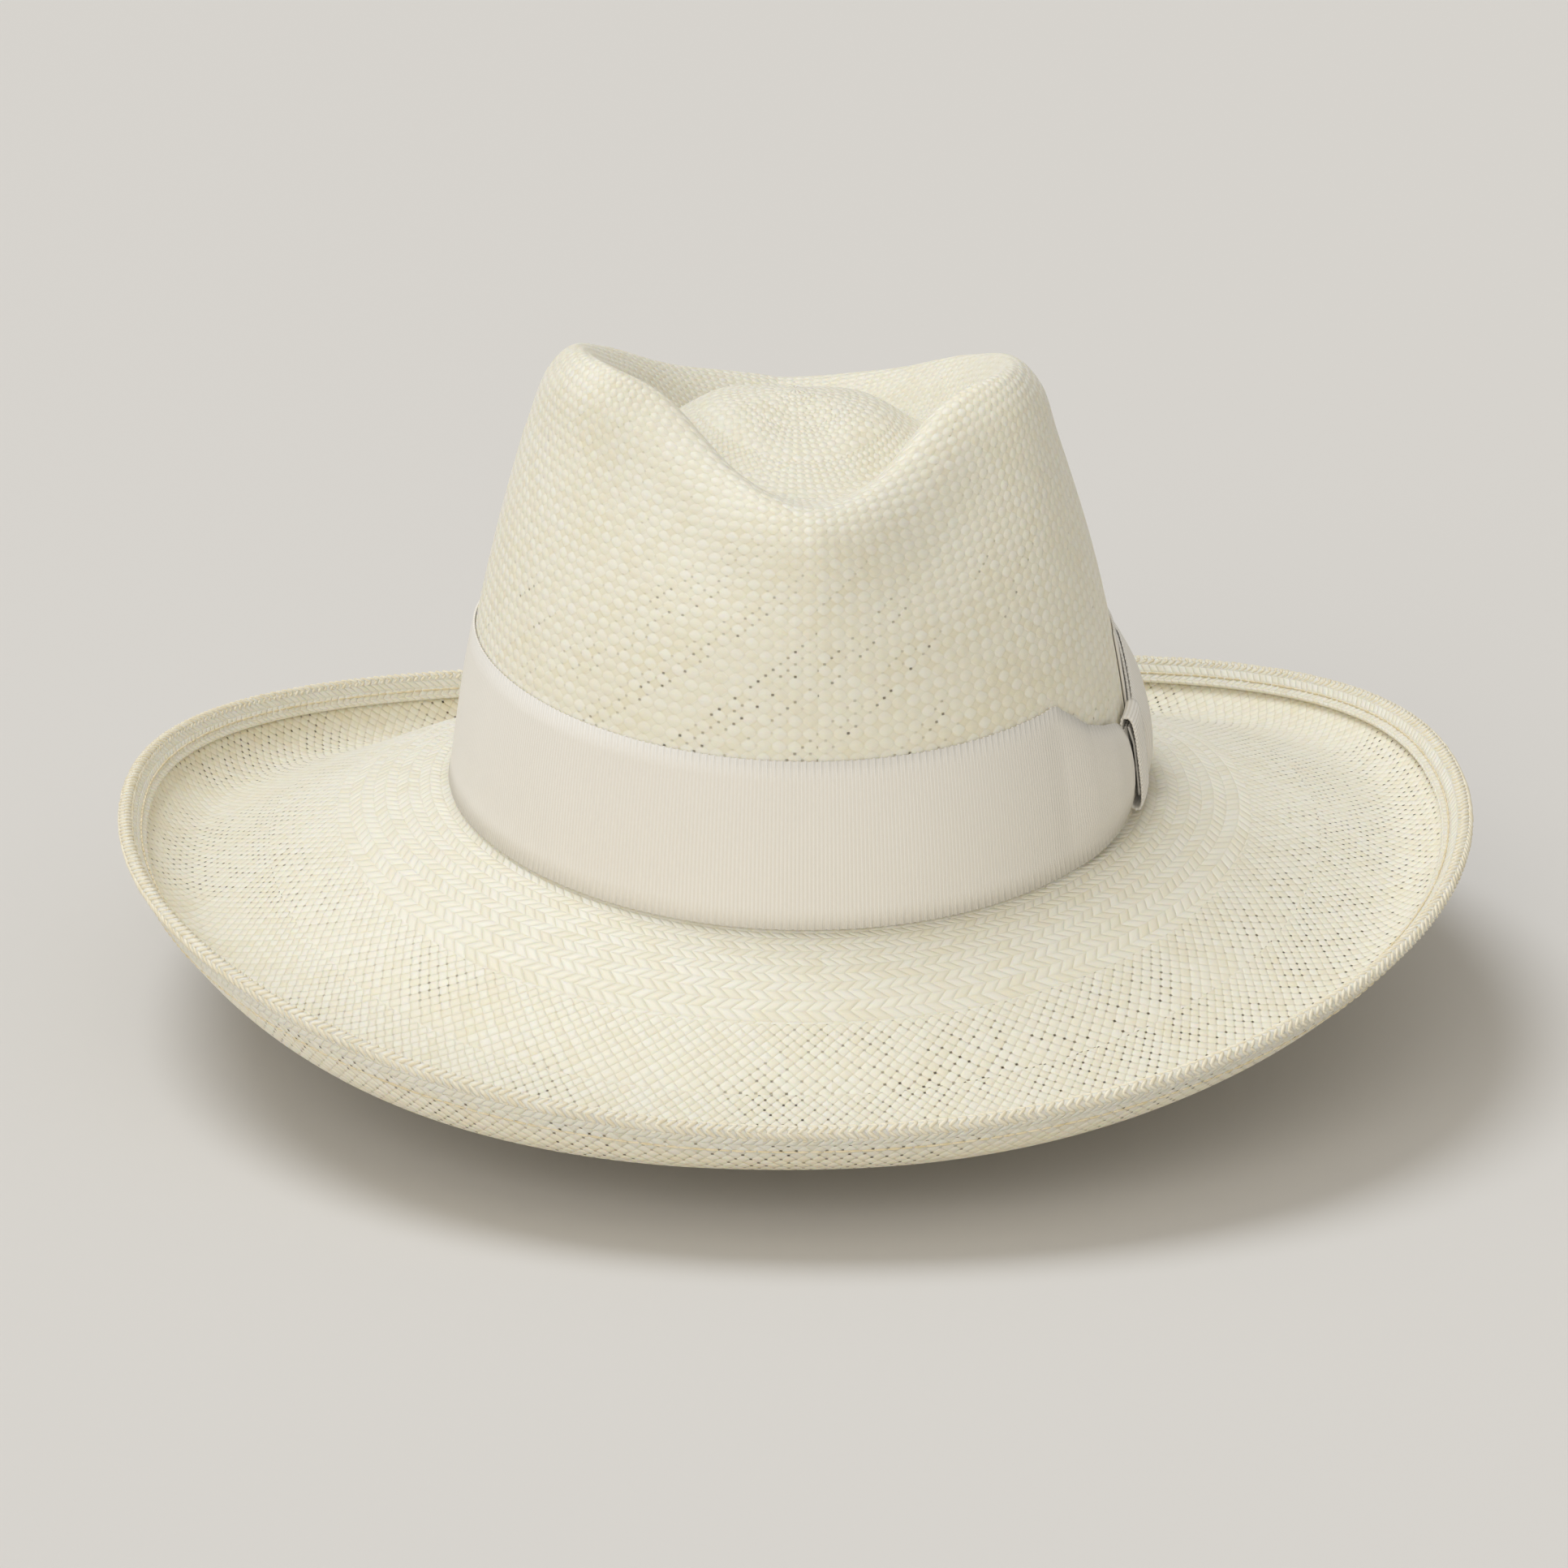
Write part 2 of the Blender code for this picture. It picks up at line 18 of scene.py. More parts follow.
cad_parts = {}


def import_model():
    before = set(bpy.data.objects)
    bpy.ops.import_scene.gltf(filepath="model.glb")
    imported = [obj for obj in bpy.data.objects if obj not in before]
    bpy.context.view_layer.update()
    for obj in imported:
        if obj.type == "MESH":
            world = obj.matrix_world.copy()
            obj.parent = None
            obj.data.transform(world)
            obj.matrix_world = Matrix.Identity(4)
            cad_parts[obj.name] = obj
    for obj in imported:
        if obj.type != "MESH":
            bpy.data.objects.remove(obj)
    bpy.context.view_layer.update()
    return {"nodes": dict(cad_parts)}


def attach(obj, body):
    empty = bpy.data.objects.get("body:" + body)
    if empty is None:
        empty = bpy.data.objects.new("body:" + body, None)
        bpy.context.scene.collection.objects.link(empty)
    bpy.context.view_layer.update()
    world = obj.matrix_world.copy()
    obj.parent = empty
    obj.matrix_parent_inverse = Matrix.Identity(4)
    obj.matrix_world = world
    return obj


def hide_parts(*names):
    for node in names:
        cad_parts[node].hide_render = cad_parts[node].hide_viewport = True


MM = 0.001
FORMAT = "%(levelname)s %(message)s"
MIX = "ShaderNodeMix"
XYZ = "ShaderNodeCombineXYZ"
WHITE_NOISE = "ShaderNodeTexWhiteNoise"
log = logging.getLogger("panama_hat")


def linear(code: str) -> tuple[float, float, float, float]:
    """Turn an sRGB hex colour into linear RGBA."""
    values = [int(code[i : i + 2], 16) / 255 for i in (1, 3, 5)]
    r, g, b = (c / 12.92 if c <= 0.04045 else ((c + 0.055) / 1.055) ** 2.4 for c in values)
    return r, g, b, 1.0


def add_node(
    tree: bpy.types.NodeTree, kind: str, inputs: dict | None = None, **settings: Any
) -> bpy.types.Node:
    """Add a node, set it and link it.

    Args:
        tree: The tree that takes the node.
        kind: The node's bl_idname.
        inputs: For each input, by name or number, a value, a node (its first output) or a socket.
        settings: Properties of the node.

    Returns:
        The new node.
    """
    node = tree.nodes.new(kind)
    for key, value in settings.items():
        setattr(node, key, value)
    for key, value in (inputs or {}).items():
        if isinstance(value, bpy.types.Node):
            value = value.outputs[0]
        if isinstance(value, bpy.types.NodeSocket):
            tree.links.new(value, node.inputs[key])
        else:
            node.inputs[key].default_value = value
    return node


# ---------------------------------------------------------------- curves


def hermite(v0: Any, v1: Any, m0: Any, m1: Any, t0: Any, t1: Any, t: Any) -> Any:
    """The cubic between two values with a given slope at each."""
    w = t1 - t0
    u = (t - t0) / w
    low = (2 * u**3 - 3 * u**2 + 1) * v0 + (u**3 - 2 * u**2 + u) * w * m0
    return low + (3 * u**2 - 2 * u**3) * v1 + (u**3 - u**2) * w * m1


def rings_through(controls: Sequence[np.ndarray], steps: Sequence[int]) -> np.ndarray:
    """Loft a smooth surface through control lines.

    Args:
        controls: The control lines, each an array of points.
        steps: The number of steps in each span between them.

    Returns:
        Every line of the surface, stacked.
    """
    lines = np.stack(controls)
    chord = np.linalg.norm(np.diff(lines, axis=0), axis=2).mean(axis=1)
    knot = np.concatenate([[0.0], np.cumsum(np.sqrt(chord))])
    slope = np.gradient(lines, knot, axis=0)
    made = []
    for i, count in enumerate(steps):
        for k in range(count):
            t = knot[i] + (knot[i + 1] - knot[i]) * k / count
            made.append(hermite(lines[i], lines[i + 1], slope[i], slope[i + 1], knot[i], knot[i + 1], t))
    made.append(lines[-1])
    return np.stack(made)


def with_height(plan: np.ndarray, z: Any) -> np.ndarray:
    """Points from plan points and their heights."""
    return np.concatenate([plan, np.broadcast_to(z, plan.shape[:-1])[..., None]], axis=-1)


def unit(v: np.ndarray) -> np.ndarray:
    """Vectors of length one."""
    return v / np.maximum(np.linalg.norm(v, axis=-1, keepdims=True), 1e-9)


def normals_of(grid: np.ndarray, closed: bool = False) -> np.ndarray:
    """The unit normals of a grid of points, from its own slopes along and across."""
    along = np.gradient(grid, axis=0)
    if closed:
        along = (np.roll(grid, -1, axis=0) - np.roll(grid, 1, axis=0)) / 2
    return unit(np.cross(along, np.gradient(grid, axis=1)))


# ---------------------------------------------------------------- the block that the hat is made on


@dataclass
class HatForm:
    """The hat's shape: the middle of the straw everywhere from the apex of the crown to the hem.

    Angles go round the hat in degrees: 0 at the front, 90 at the bow, 180 at the back.
    """

    straw: float = 1.2
    gap: float = 0.3
    head_half_width: float = 85.5
    head_front: float = 99.7
    head_back: float = 98.8
    head_power: float = 2.11
    head_z_front: float = 31.4
    head_z_side: float = 38.9
    rim_half_width: float = 170.0
    rim_front: float = 184.5
    rim_back: float = 182.5
    rim_power: float = 2.15
    rim_z_front: float = 13.7
    rim_z_side: float = 37.3
    rim_tilt: float = 2.4
    curl_width: tuple[float, float] = (13.0, 18.0)
    curl_height_front: float = 13.4
    curl_height_bow_side: float = 11.6
    curl_height_plain_side: float = 16.5
    front_sag: float = 4.5
    front_lift: float = 1.2
    hem_radius: float = 1.0
    hem_depth: float = 6.5
    stations: tuple[float, ...] = (0, 20, 40, 60, 90, 120, 150, 180)
    ridge_z: tuple[float, ...] = (127.0, 132.0, 145.5, 150.5, 148.0, 139.5, 128.5, 123.5)
    trough_z: tuple[float, ...] = (124.5, 125.0, 126.0, 128.5, 129.0, 125.0, 118.5, 115.5)
    dome_z: tuple[float, ...] = (131.0, 131.5, 133.5, 135.5, 136.5, 135.5, 133.0, 131.5)
    ridge_half_width: float = 54.0
    ridge_front: float = 76.0
    ridge_back: float = 74.0
    trough_share: float = 0.70
    dome_share: float = 0.36
    apex_y: float = -2.0
    apex_z: float = 139.0
    pinch_at: float = 37.0
    pinch_spread: float = 15.5
    pinch_depth: float = 19.0
    crown_lean: float = 0.035
    wall_slope: float = 0.10
    wall_curve: float = 0.00135
    wall_front_share: float = 0.90

    def oval(self, degrees: np.ndarray, half_width: Any, front: Any, back: Any, power: float) -> np.ndarray:
        """Plan points of a rounded oval, with its own length in front of and behind the middle."""
        s, c = np.sin(np.radians(degrees)), np.cos(np.radians(degrees))
        reach = (np.abs(s) ** power + np.abs(c) ** power) ** (-1 / power)
        return np.stack([half_width * s * reach, -np.where(c > 0, front, back) * c * reach], axis=-1)

    def saddle(self, degrees: np.ndarray, front: Any, side: Any) -> np.ndarray:
        """A height that is the same at the front and the back, and another at both sides."""
        return front + (side - front) * np.sin(np.radians(degrees)) ** 2

    def through(self, values: Sequence[float], degrees: np.ndarray) -> np.ndarray:
        """A smooth curve round the crown through one value for each station, alike on both sides."""
        s = self.stations
        angle = np.array([-a for a in s[:0:-1]] + list(s) + [360.0 - a for a in s[-2::-1]])
        value = np.array(list(values[:0:-1]) + list(values) + list(values[-2::-1]), float)
        slope = np.gradient(value, angle)
        at = (np.asarray(degrees, float) + 180.0) % 360.0 - 180.0
        i = np.clip(np.searchsorted(angle, at, side="right") - 1, 0, len(angle) - 2)
        return hermite(value[i], value[i + 1], slope[i], slope[i + 1], angle[i], angle[i + 1], at)

    def head_z(self, degrees: np.ndarray) -> np.ndarray:
        """Height of the head opening over the floor."""
        return self.saddle(degrees, self.head_z_front, self.head_z_side)

    def wall(self, degrees: np.ndarray, height: Any, out: Any = 0.0) -> np.ndarray:
        """A point of the crown wall at a height over the head opening, moved out from the straw's middle."""
        height = np.asarray(height, float)
        inset = self.wall_slope * height + self.wall_curve * height**2 - out
        share = np.where(inset > 0, self.wall_front_share, 1.0)
        front, back = self.head_front - inset * share, self.head_back - inset * share
        plan = self.oval(degrees, self.head_half_width - inset, front, back, self.head_power)
        return with_height(plan, self.head_z(degrees) + height)

    def pushed_in(self, ring: np.ndarray, degrees: np.ndarray, share: float) -> np.ndarray:
        """A ring of the crown with the two front dents pressed in by a share of their depth."""
        side = np.abs((np.asarray(degrees, float) + 180.0) % 360.0 - 180.0)
        moved = ring.copy()
        spread = (side - self.pinch_at) / self.pinch_spread
        moved[:, 1] += self.pinch_depth * share * np.exp(-0.5 * spread**2)
        return moved

    def ridge_plan(self, degrees: np.ndarray, share: float = 1.0, out: float = 0.0) -> np.ndarray:
        """Plan of the crown's ridge, scaled about the apex, before it is pinched."""
        size = (self.ridge_half_width + out, self.ridge_front + out, self.ridge_back + out)
        centre = np.array([0.0, self.apex_y])
        return centre + (self.oval(degrees, *size, 2.0) - centre) * share

    def crown_controls(self, degrees: np.ndarray) -> list[np.ndarray]:
        """Control rings from the dome at the top, over the ridge and down the wall."""
        ridge, trough = self.through(self.ridge_z, degrees), self.through(self.trough_z, degrees)
        high = ridge - 19.0 - self.head_z(degrees)
        plan = self.ridge_plan
        rings = [
            with_height(plan(degrees, 0.04), self.apex_z - 0.1),
            with_height(plan(degrees, self.dome_share), self.through(self.dome_z, degrees)),
            self.pushed_in(with_height(plan(degrees, self.trough_share), trough), degrees, 0.35),
            self.pushed_in(with_height(plan(degrees, 0.88), ridge * 0.74 + trough * 0.26), degrees, 0.82),
            self.pushed_in(with_height(plan(degrees), ridge), degrees, 1.0),
            self.pushed_in(with_height(plan(degrees, 1.0, 6.2), ridge - 5.0), degrees, 0.95),
            self.pushed_in(self.wall(degrees, high), degrees, 0.66),
            self.pushed_in(self.wall(degrees, np.full_like(degrees, 66.0)), degrees, 0.20),
        ]
        for ring in rings:
            ring[:, 2] -= self.crown_lean * ring[:, 0] * np.clip((ring[:, 2] - 90.0) / 40.0, 0.0, 1.0)
        return rings + [self.wall(degrees, np.full_like(degrees, h)) for h in (41.0, 20.0, 2.6)]

    def front_quarter(self, degrees: np.ndarray) -> np.ndarray:
        """From 0 to 1 and back across the front quarter away from the bow, and 0 elsewhere."""
        turned = np.radians(degrees)
        return np.where((np.sin(turned) < 0) & (np.cos(turned) > 0), np.sin(2 * turned) ** 2, 0.0)

    def rim_line(self, degrees: np.ndarray) -> np.ndarray:
        """The top of the rolled edge."""
        tilt = self.rim_tilt * np.sin(np.radians(degrees)) + self.front_lift * self.front_quarter(degrees)
        plan = self.oval(degrees, self.rim_half_width, self.rim_front, self.rim_back, self.rim_power)
        return with_height(plan, self.saddle(degrees, self.rim_z_front, self.rim_z_side) + tilt)

    def outward(self, degrees: np.ndarray) -> np.ndarray:
        """Plan direction from the head opening to the rim at each angle."""
        return unit(self.rim_line(degrees)[:, :2] - self.wall(degrees, np.zeros_like(degrees))[:, :2])

    def from_rim(self, degrees: np.ndarray, inward: Any, down: Any) -> np.ndarray:
        """The ring a distance in from the rim's outline and down from its top."""
        rim, way = self.rim_line(degrees), self.outward(degrees)
        plan = rim[:, :2] - way * np.broadcast_to(inward, degrees.shape)[:, None]
        return with_height(plan, rim[:, 2] - down)

    def curl_size(self, degrees: np.ndarray) -> tuple[np.ndarray, np.ndarray]:
        """How far the brim turns in and up from its lowest line to the top of its edge."""
        bow_side = np.sin(np.radians(degrees)) > 0
        side = np.where(bow_side, self.curl_height_bow_side, self.curl_height_plain_side)
        height = self.saddle(degrees, self.curl_height_front, side)
        return self.saddle(degrees, *self.curl_width), height + self.front_sag * self.front_quarter(degrees)

    def brim_controls(self, degrees: np.ndarray) -> list[np.ndarray]:
        """Control rings from the head opening out to the lowest line of the brim."""
        start = self.wall(degrees, np.full_like(degrees, -0.7), out=1.1)
        lowest = self.from_rim(degrees, *self.curl_size(degrees))
        rings = [start]
        for share, fall in zip((0.06, 0.30, 0.58, 0.82), (0.03, 0.21, 0.56, 0.86)):
            ring = start + (lowest - start) * share
            ring[:, 2] = start[:, 2] + (lowest[:, 2] - start[:, 2]) * fall
            rings.append(ring)
        return rings + [lowest]

    def curl_controls(self, degrees: np.ndarray) -> list[np.ndarray]:
        """Rings of the upturned edge, from its foot to the start of the fold."""
        width, height = self.curl_size(degrees)
        shape = ((0.66, 0.86), (0.36, 0.58), (0.14, 0.28))
        rings = [self.from_rim(degrees, width * across, height * down) for across, down in shape]
        return rings + [self.from_rim(degrees, 0.65, 1.7)]

    def square_to(self, along: np.ndarray, degrees: np.ndarray) -> tuple[np.ndarray, np.ndarray]:
        """A direction up the rolled edge, and the one square to it that faces into the hat."""
        way, along = with_height(self.outward(degrees), 0.0), unit(along)
        up = np.array([0.0, 0.0, 1.0])
        return along, up * (along * way).sum(axis=1)[:, None] - way * along[:, 2:3]

    def hem_rings(self, degrees: np.ndarray, curl: list[np.ndarray], fine: int = 3) -> list[np.ndarray]:
        """The fold over the rim and the straw that comes down inside it, beside the outer layer."""
        along, inward = self.square_to(curl[-1] - curl[-2], degrees)
        centre = curl[-1] + inward * self.hem_radius
        turn = np.linspace(0.35, 2.8, 3 * fine)
        fold = [centre + self.hem_radius * (along * math.sin(a) - inward * math.cos(a)) for a in turn]
        start, down = centre + inward * self.hem_radius, unit(curl[-3] - curl[-1])
        bow = 0.2  # how far the inner layer curves away from a straight line
        shares = np.linspace(0, 1, 3 * fine)
        layer = [start + down * self.hem_depth * s - inward * bow * s * (1 - s) for s in shares]
        return fold + layer


# ---------------------------------------------------------------- meshes


def add_object(name: str, data: Any, finish: bpy.types.Material) -> bpy.types.Object:
    """Link a new object into the scene with its finish."""
    made = bpy.data.objects.new(name, data)
    bpy.context.scene.collection.objects.link(made)
    data.materials.append(finish)
    return made


def grid_mesh(
    name: str, grid: np.ndarray, uv: np.ndarray, wrap: bool = False, pole: Sequence[float] | None = None
) -> bpy.types.Mesh:
    """A mesh of quads through a grid of points, with a UV for each corner.

    Args:
        name: The mesh's name.
        grid: Points in millimetres, rows by columns.
        uv: The pattern's coordinates, face rows by two edges by columns plus one by two.
        wrap: Whether the last column joins the first.
        pole: A point that closes the first row, if any.

    Returns:
        The mesh, in metres.
    """
    rows, columns = grid.shape[:2]
    across = columns if wrap else columns - 1
    r, c = np.meshgrid(np.arange(rows - 1), np.arange(across), indexing="ij")
    n = (c + 1) % columns
    here, below = r * columns, (r + 1) * columns
    quads = np.stack([here + c, here + n, below + n, below + c], axis=-1)
    corners = np.stack([uv[r, 0, c], uv[r, 0, c + 1], uv[r, 1, c + 1], uv[r, 1, c]], axis=2).reshape(-1, 2)
    points = [tuple(p) for p in grid.reshape(-1, 3) * MM]
    faces = [tuple(q) for q in quads.reshape(-1, 4).tolist()]
    if pole is not None:
        points.append(tuple(np.asarray(pole) * MM))
        faces += [(len(points) - 1, (k + 1) % columns, k) for k in range(columns)]
        tip = np.stack([uv[0, 0, :-1] * [1, 0], uv[0, 0, 1:], uv[0, 0, :-1]], axis=1).reshape(-1, 2)
        corners = np.concatenate([corners, tip])
    mesh = bpy.data.meshes.new(name)
    mesh.from_pydata(points, [], faces)
    mesh.uv_layers.new(name="pattern").data.foreach_set("uv", corners.astype(np.float32).ravel())
    mesh.shade_smooth()
    return mesh


def thicken(made: bpy.types.Object, thickness: float) -> None:
    """Give a sheet its thickness, half on each side."""
    skin = made.modifiers.new("thickness", "SOLIDIFY")
    skin.thickness = thickness * MM
    skin.offset = 0.0
    skin.use_even_offset = True


def applied(made: bpy.types.Object) -> None:
    """Turn an object's modifiers into its plain mesh."""
    solid = bpy.data.meshes.new_from_object(made.evaluated_get(bpy.context.evaluated_depsgraph_get()))
    made.modifiers.clear()
    made.data = solid


@dataclass
class Strokes:
    """Short raised stitches or straw ends, one on each point, laid along that point's direction."""

    length: float
    width: float
    finish: bpy.types.Material
    seed: int = 3

    def tree(self) -> bpy.types.NodeTree:
        """Build the Geometry Nodes tree that lays a stroke on every point."""
        tree = bpy.data.node_groups.new("strokes", "GeometryNodeTree")
        face = tree.interface
        face.new_socket("Geometry", in_out="INPUT", socket_type="NodeSocketGeometry")
        for name in ("Length", "Width"):
            face.new_socket(name, in_out="INPUT", socket_type="NodeSocketFloat")
        face.new_socket("Geometry", in_out="OUTPUT", socket_type="NodeSocketGeometry")
        given = add_node(tree, "NodeGroupInput")
        shape = add_node(tree, "GeometryNodeMeshUVSphere", {"Segments": 6, "Rings": 5, "Radius": 0.5})
        smooth = add_node(tree, "GeometryNodeSetShadeSmooth", {"Geometry": shape})
        named = "GeometryNodeInputNamedAttribute"
        way = add_node(tree, named, {"Name": "along"}, data_type="FLOAT_VECTOR")
        turn = add_node(tree, "FunctionNodeAlignRotationToVector", {"Vector": way}, axis="Z")
        wide, long = given.outputs["Width"], given.outputs["Length"]
        size = add_node(tree, XYZ, {0: wide, 1: wide, 2: long})
        sizes = {2: 0.86, 3: 1.12, "Seed": self.seed}
        vary = add_node(tree, "FunctionNodeRandomValue", sizes, data_type="FLOAT")
        factor = {0: size, "Scale": vary.outputs[1]}
        scaled = add_node(tree, "ShaderNodeVectorMath", factor, operation="SCALE")
        laid = add_node(
            tree,
            "GeometryNodeInstanceOnPoints",
            {"Points": given.outputs["Geometry"], "Instance": smooth, "Rotation": turn, "Scale": scaled},
        )
        real = add_node(tree, "GeometryNodeRealizeInstances", {"Geometry": laid})
        dressed = add_node(tree, "GeometryNodeSetMaterial", {"Geometry": real, "Material": self.finish})
        add_node(tree, "NodeGroupOutput", {"Geometry": dressed})
        return tree

    def lay(self, name: str, points: np.ndarray, along: np.ndarray) -> bpy.types.Object:
        """Lay a stroke on each point.

        Args:
            name: The piece's name.
            points: Places in millimetres.
            along: The direction of each stroke.

        Returns:
            The piece as a plain mesh.
        """
        mesh = bpy.data.meshes.new(name)
        mesh.from_pydata([tuple(p) for p in points * MM], [], [])
        ways = mesh.attributes.new("along", "FLOAT_VECTOR", "POINT").data
        ways.foreach_set("vector", along.astype(np.float32).ravel())
        made = add_object(name, mesh, self.finish)
        maker = made.modifiers.new("strokes", "NODES")
        tree = self.tree()
        maker.node_group = tree
        sizes = {"Length": self.length * MM, "Width": self.width * MM}
        for item in tree.interface.items_tree:
            if item.in_out == "INPUT" and item.name in sizes:
                maker[item.identifier] = sizes[item.name]
        applied(made)
        return made


# ---------------------------------------------------------------- finishes

Step = tuple  # a name, an operation, then its terms: numbers, or names of earlier results


def cell_edge(name: str, source: str, stretch: float = 2.0) -> tuple[Step, ...]:
    """Steps for how far a point is from the middle of its cell: with a stretch of 2, 1 at the edge."""
    return (
        (name, "FRACT", source),
        (name, "SUBTRACT", name, 0.5),
        (name, "ABSOLUTE", name),
        (name, "MULTIPLY", name, stretch),
    )


CROSSING: tuple[Step, ...] = (
    # the two families of straws, and where a point lies in its crossing
    ("a", "ADD", "u", "v"),
    ("b", "SUBTRACT", "u", "v"),
    ("a_cell", "FLOOR", "a"),
    ("b_cell", "FLOOR", "b"),
    *cell_edge("a_edge", "a"),
    *cell_edge("b_edge", "b"),
    ("total", "ADD", "a_cell", "b_cell"),
    ("under", "FLOORED_MODULO", "total", 2.0),
    ("along", "MIX", "under", "a_edge", "b_edge"),
    ("across", "MIX", "under", "b_edge", "a_edge"),
    ("across", "POWER", "across", 3.0),
    ("along", "POWER", "along", 2.0),
    ("side", "MULTIPLY_ADD", "across", -0.95, 1.0),
    ("arch", "MULTIPLY_ADD", "along", -0.60, 1.0),
    ("sunk", "MULTIPLY_ADD", "under", -0.30, 1.0),
    ("plain", "MULTIPLY", "side", "arch"),
    ("plain", "MULTIPLY", "plain", "sunk"),
    # ovals of the proud family, with the other family sunk between them
    *cell_edge("ou", "u", 2.05),
    ("ou", "POWER", "ou", 1.7),
    ("ov", "ADD", "v", 0.5),
    *cell_edge("ov", "ov", 2.15),
    ("ov", "POWER", "ov", 1.7),
    ("far_out", "ADD", "ou", "ov"),
    ("dome", "MULTIPLY_ADD", "far_out", -0.8, 1.0),
    ("low", "MULTIPLY", "plain", 0.30),
    ("oval", "MAXIMUM", "dome", "low"),
    # herringbone rows
    ("t", "MULTIPLY", "v", 1.12),
    ("row", "FLOOR", "t"),
    ("t_part", "FRACT", "t"),
    ("t_off", "SUBTRACT", "t_part", 0.5),
    ("odd", "FLOORED_MODULO", "row", 2.0),
    ("way", "MULTIPLY_ADD", "odd", 1.7, -0.85),
    ("slant", "MULTIPLY_ADD", "t_off", "way", "u"),
    ("stroke", "FLOOR", "slant"),
    *cell_edge("s", "slant"),
    ("s", "POWER", "s", 3.0),
    ("s", "MULTIPLY_ADD", "s", -0.9, 1.0),
    *cell_edge("t_end", "t"),
    ("t_end", "POWER", "t_end", 4.0),
    ("t_end", "MULTIPLY_ADD", "t_end", -0.65, 1.0),
    ("bone", "MULTIPLY", "s", "t_end"),
    ("height", "MIX", "proud", "plain", "oval"),
    ("height", "MIX", "ringed", "height", "bone"),
    # which straw this is, in lengths of about nine crossings
    ("piece", "MIX", "under", "b_cell", "a_cell"),
    ("far", "MIX", "under", "a", "b"),
    ("far", "DIVIDE", "far", 9.0),
    ("far", "FLOOR", "far"),
    # the corner where four straws meet
    ("corner", "MULTIPLY", "a_edge", "b_edge"),
    ("a_near", "ROUND", "a"),
    ("b_near", "ROUND", "b"),
    ("off_crown", "SUBTRACT", 0.95, "proud"),
    ("unringed", "SUBTRACT", 1.0, "ringed"),
)
TONE: tuple[Step, ...] = (
    ("shade", "MULTIPLY", "tone", 0.55),
    ("shade", "MULTIPLY_ADD", "cloud", 0.42, "shade"),
    ("shade", "MULTIPLY_ADD", "fibre", 0.16, "shade"),
)
PINHOLES: tuple[Step, ...] = (
    ("streak", "MAXIMUM", "streak", "off_crown"),
    ("pore", "MULTIPLY", "pore", "patch"),
    ("pore", "MULTIPLY", "pore", "streak"),
    ("pore", "MULTIPLY", "pore", "loose"),
    ("pore", "MULTIPLY", "pore", "lucky"),
    ("pore", "MULTIPLY", "pore", "unringed"),
    ("grain", "MULTIPLY_ADD", "fibre", 0.10, "height"),
    ("lowered", "MULTIPLY_ADD", "pore", -0.8, "grain"),
)


def work_out(tree: bpy.types.NodeTree, known: dict[str, Any], steps: Sequence[Step]) -> None:
    """Add the nodes of a calculation, one for each step.

    Args:
        tree: The tree that takes the nodes.
        known: Every result so far by its name. Each step's result is added to it.
        steps: The steps. MIX takes a factor and two values, and the rest are maths operations.
    """
    for name, operation, *terms in steps:
        values = [known[term] if isinstance(term, str) else term for term in terms]
        if operation == "MIX":
            known[name] = add_node(tree, MIX, dict(zip((0, 2, 3), values)), data_type="FLOAT")
        else:
            known[name] = add_node(tree, "ShaderNodeMath", dict(enumerate(values)), operation=operation)


def blank_material(name: str) -> tuple[bpy.types.Material, bpy.types.NodeTree]:
    """A new material and its node tree."""
    made = bpy.data.materials.new(name)
    made.use_nodes = True
    return made, made.node_tree


def noise_of(place: Any, scale: float, detail: float) -> tuple[str, dict]:
    """The kind and inputs of a soft noise on the given coordinates."""
    return "ShaderNodeTexNoise", {"Vector": place, "Scale": scale, "Detail": detail}


def ranged(value: Any, *limits: float) -> tuple[str, dict]:
    """The kind and inputs that map one range to another: from low, from high, to low, to high."""
    return "ShaderNodeMapRange", {0: value, **dict(enumerate(limits, 1))}


def finish_shader(
    tree: bpy.types.NodeTree, colour: Any, relief: dict[str, Any], constants: dict[str, Any]
) -> None:
    """Link a shader's colour and its relief, and set its constants.

    Args:
        tree: The material's tree.
        colour: The colour's socket.
        relief: The Bump node's Height, Strength and Distance.
        constants: Values for the shader's own sockets.
    """
    shader = tree.nodes["Principled BSDF"]
    tree.links.new(colour, shader.inputs["Base Color"])
    tree.links.new(add_node(tree, "ShaderNodeBump", relief).outputs[0], shader.inputs["Normal"])
    for socket, value in constants.items():
        shader.inputs[socket].default_value = value


def blend(tree: bpy.types.NodeTree, factor: Any, first: Any, second: Any) -> bpy.types.NodeSocket:
    """The colour between two colours."""
    return add_node(tree, MIX, {0: factor, 6: first, 7: second}, data_type="RGBA").outputs[2]


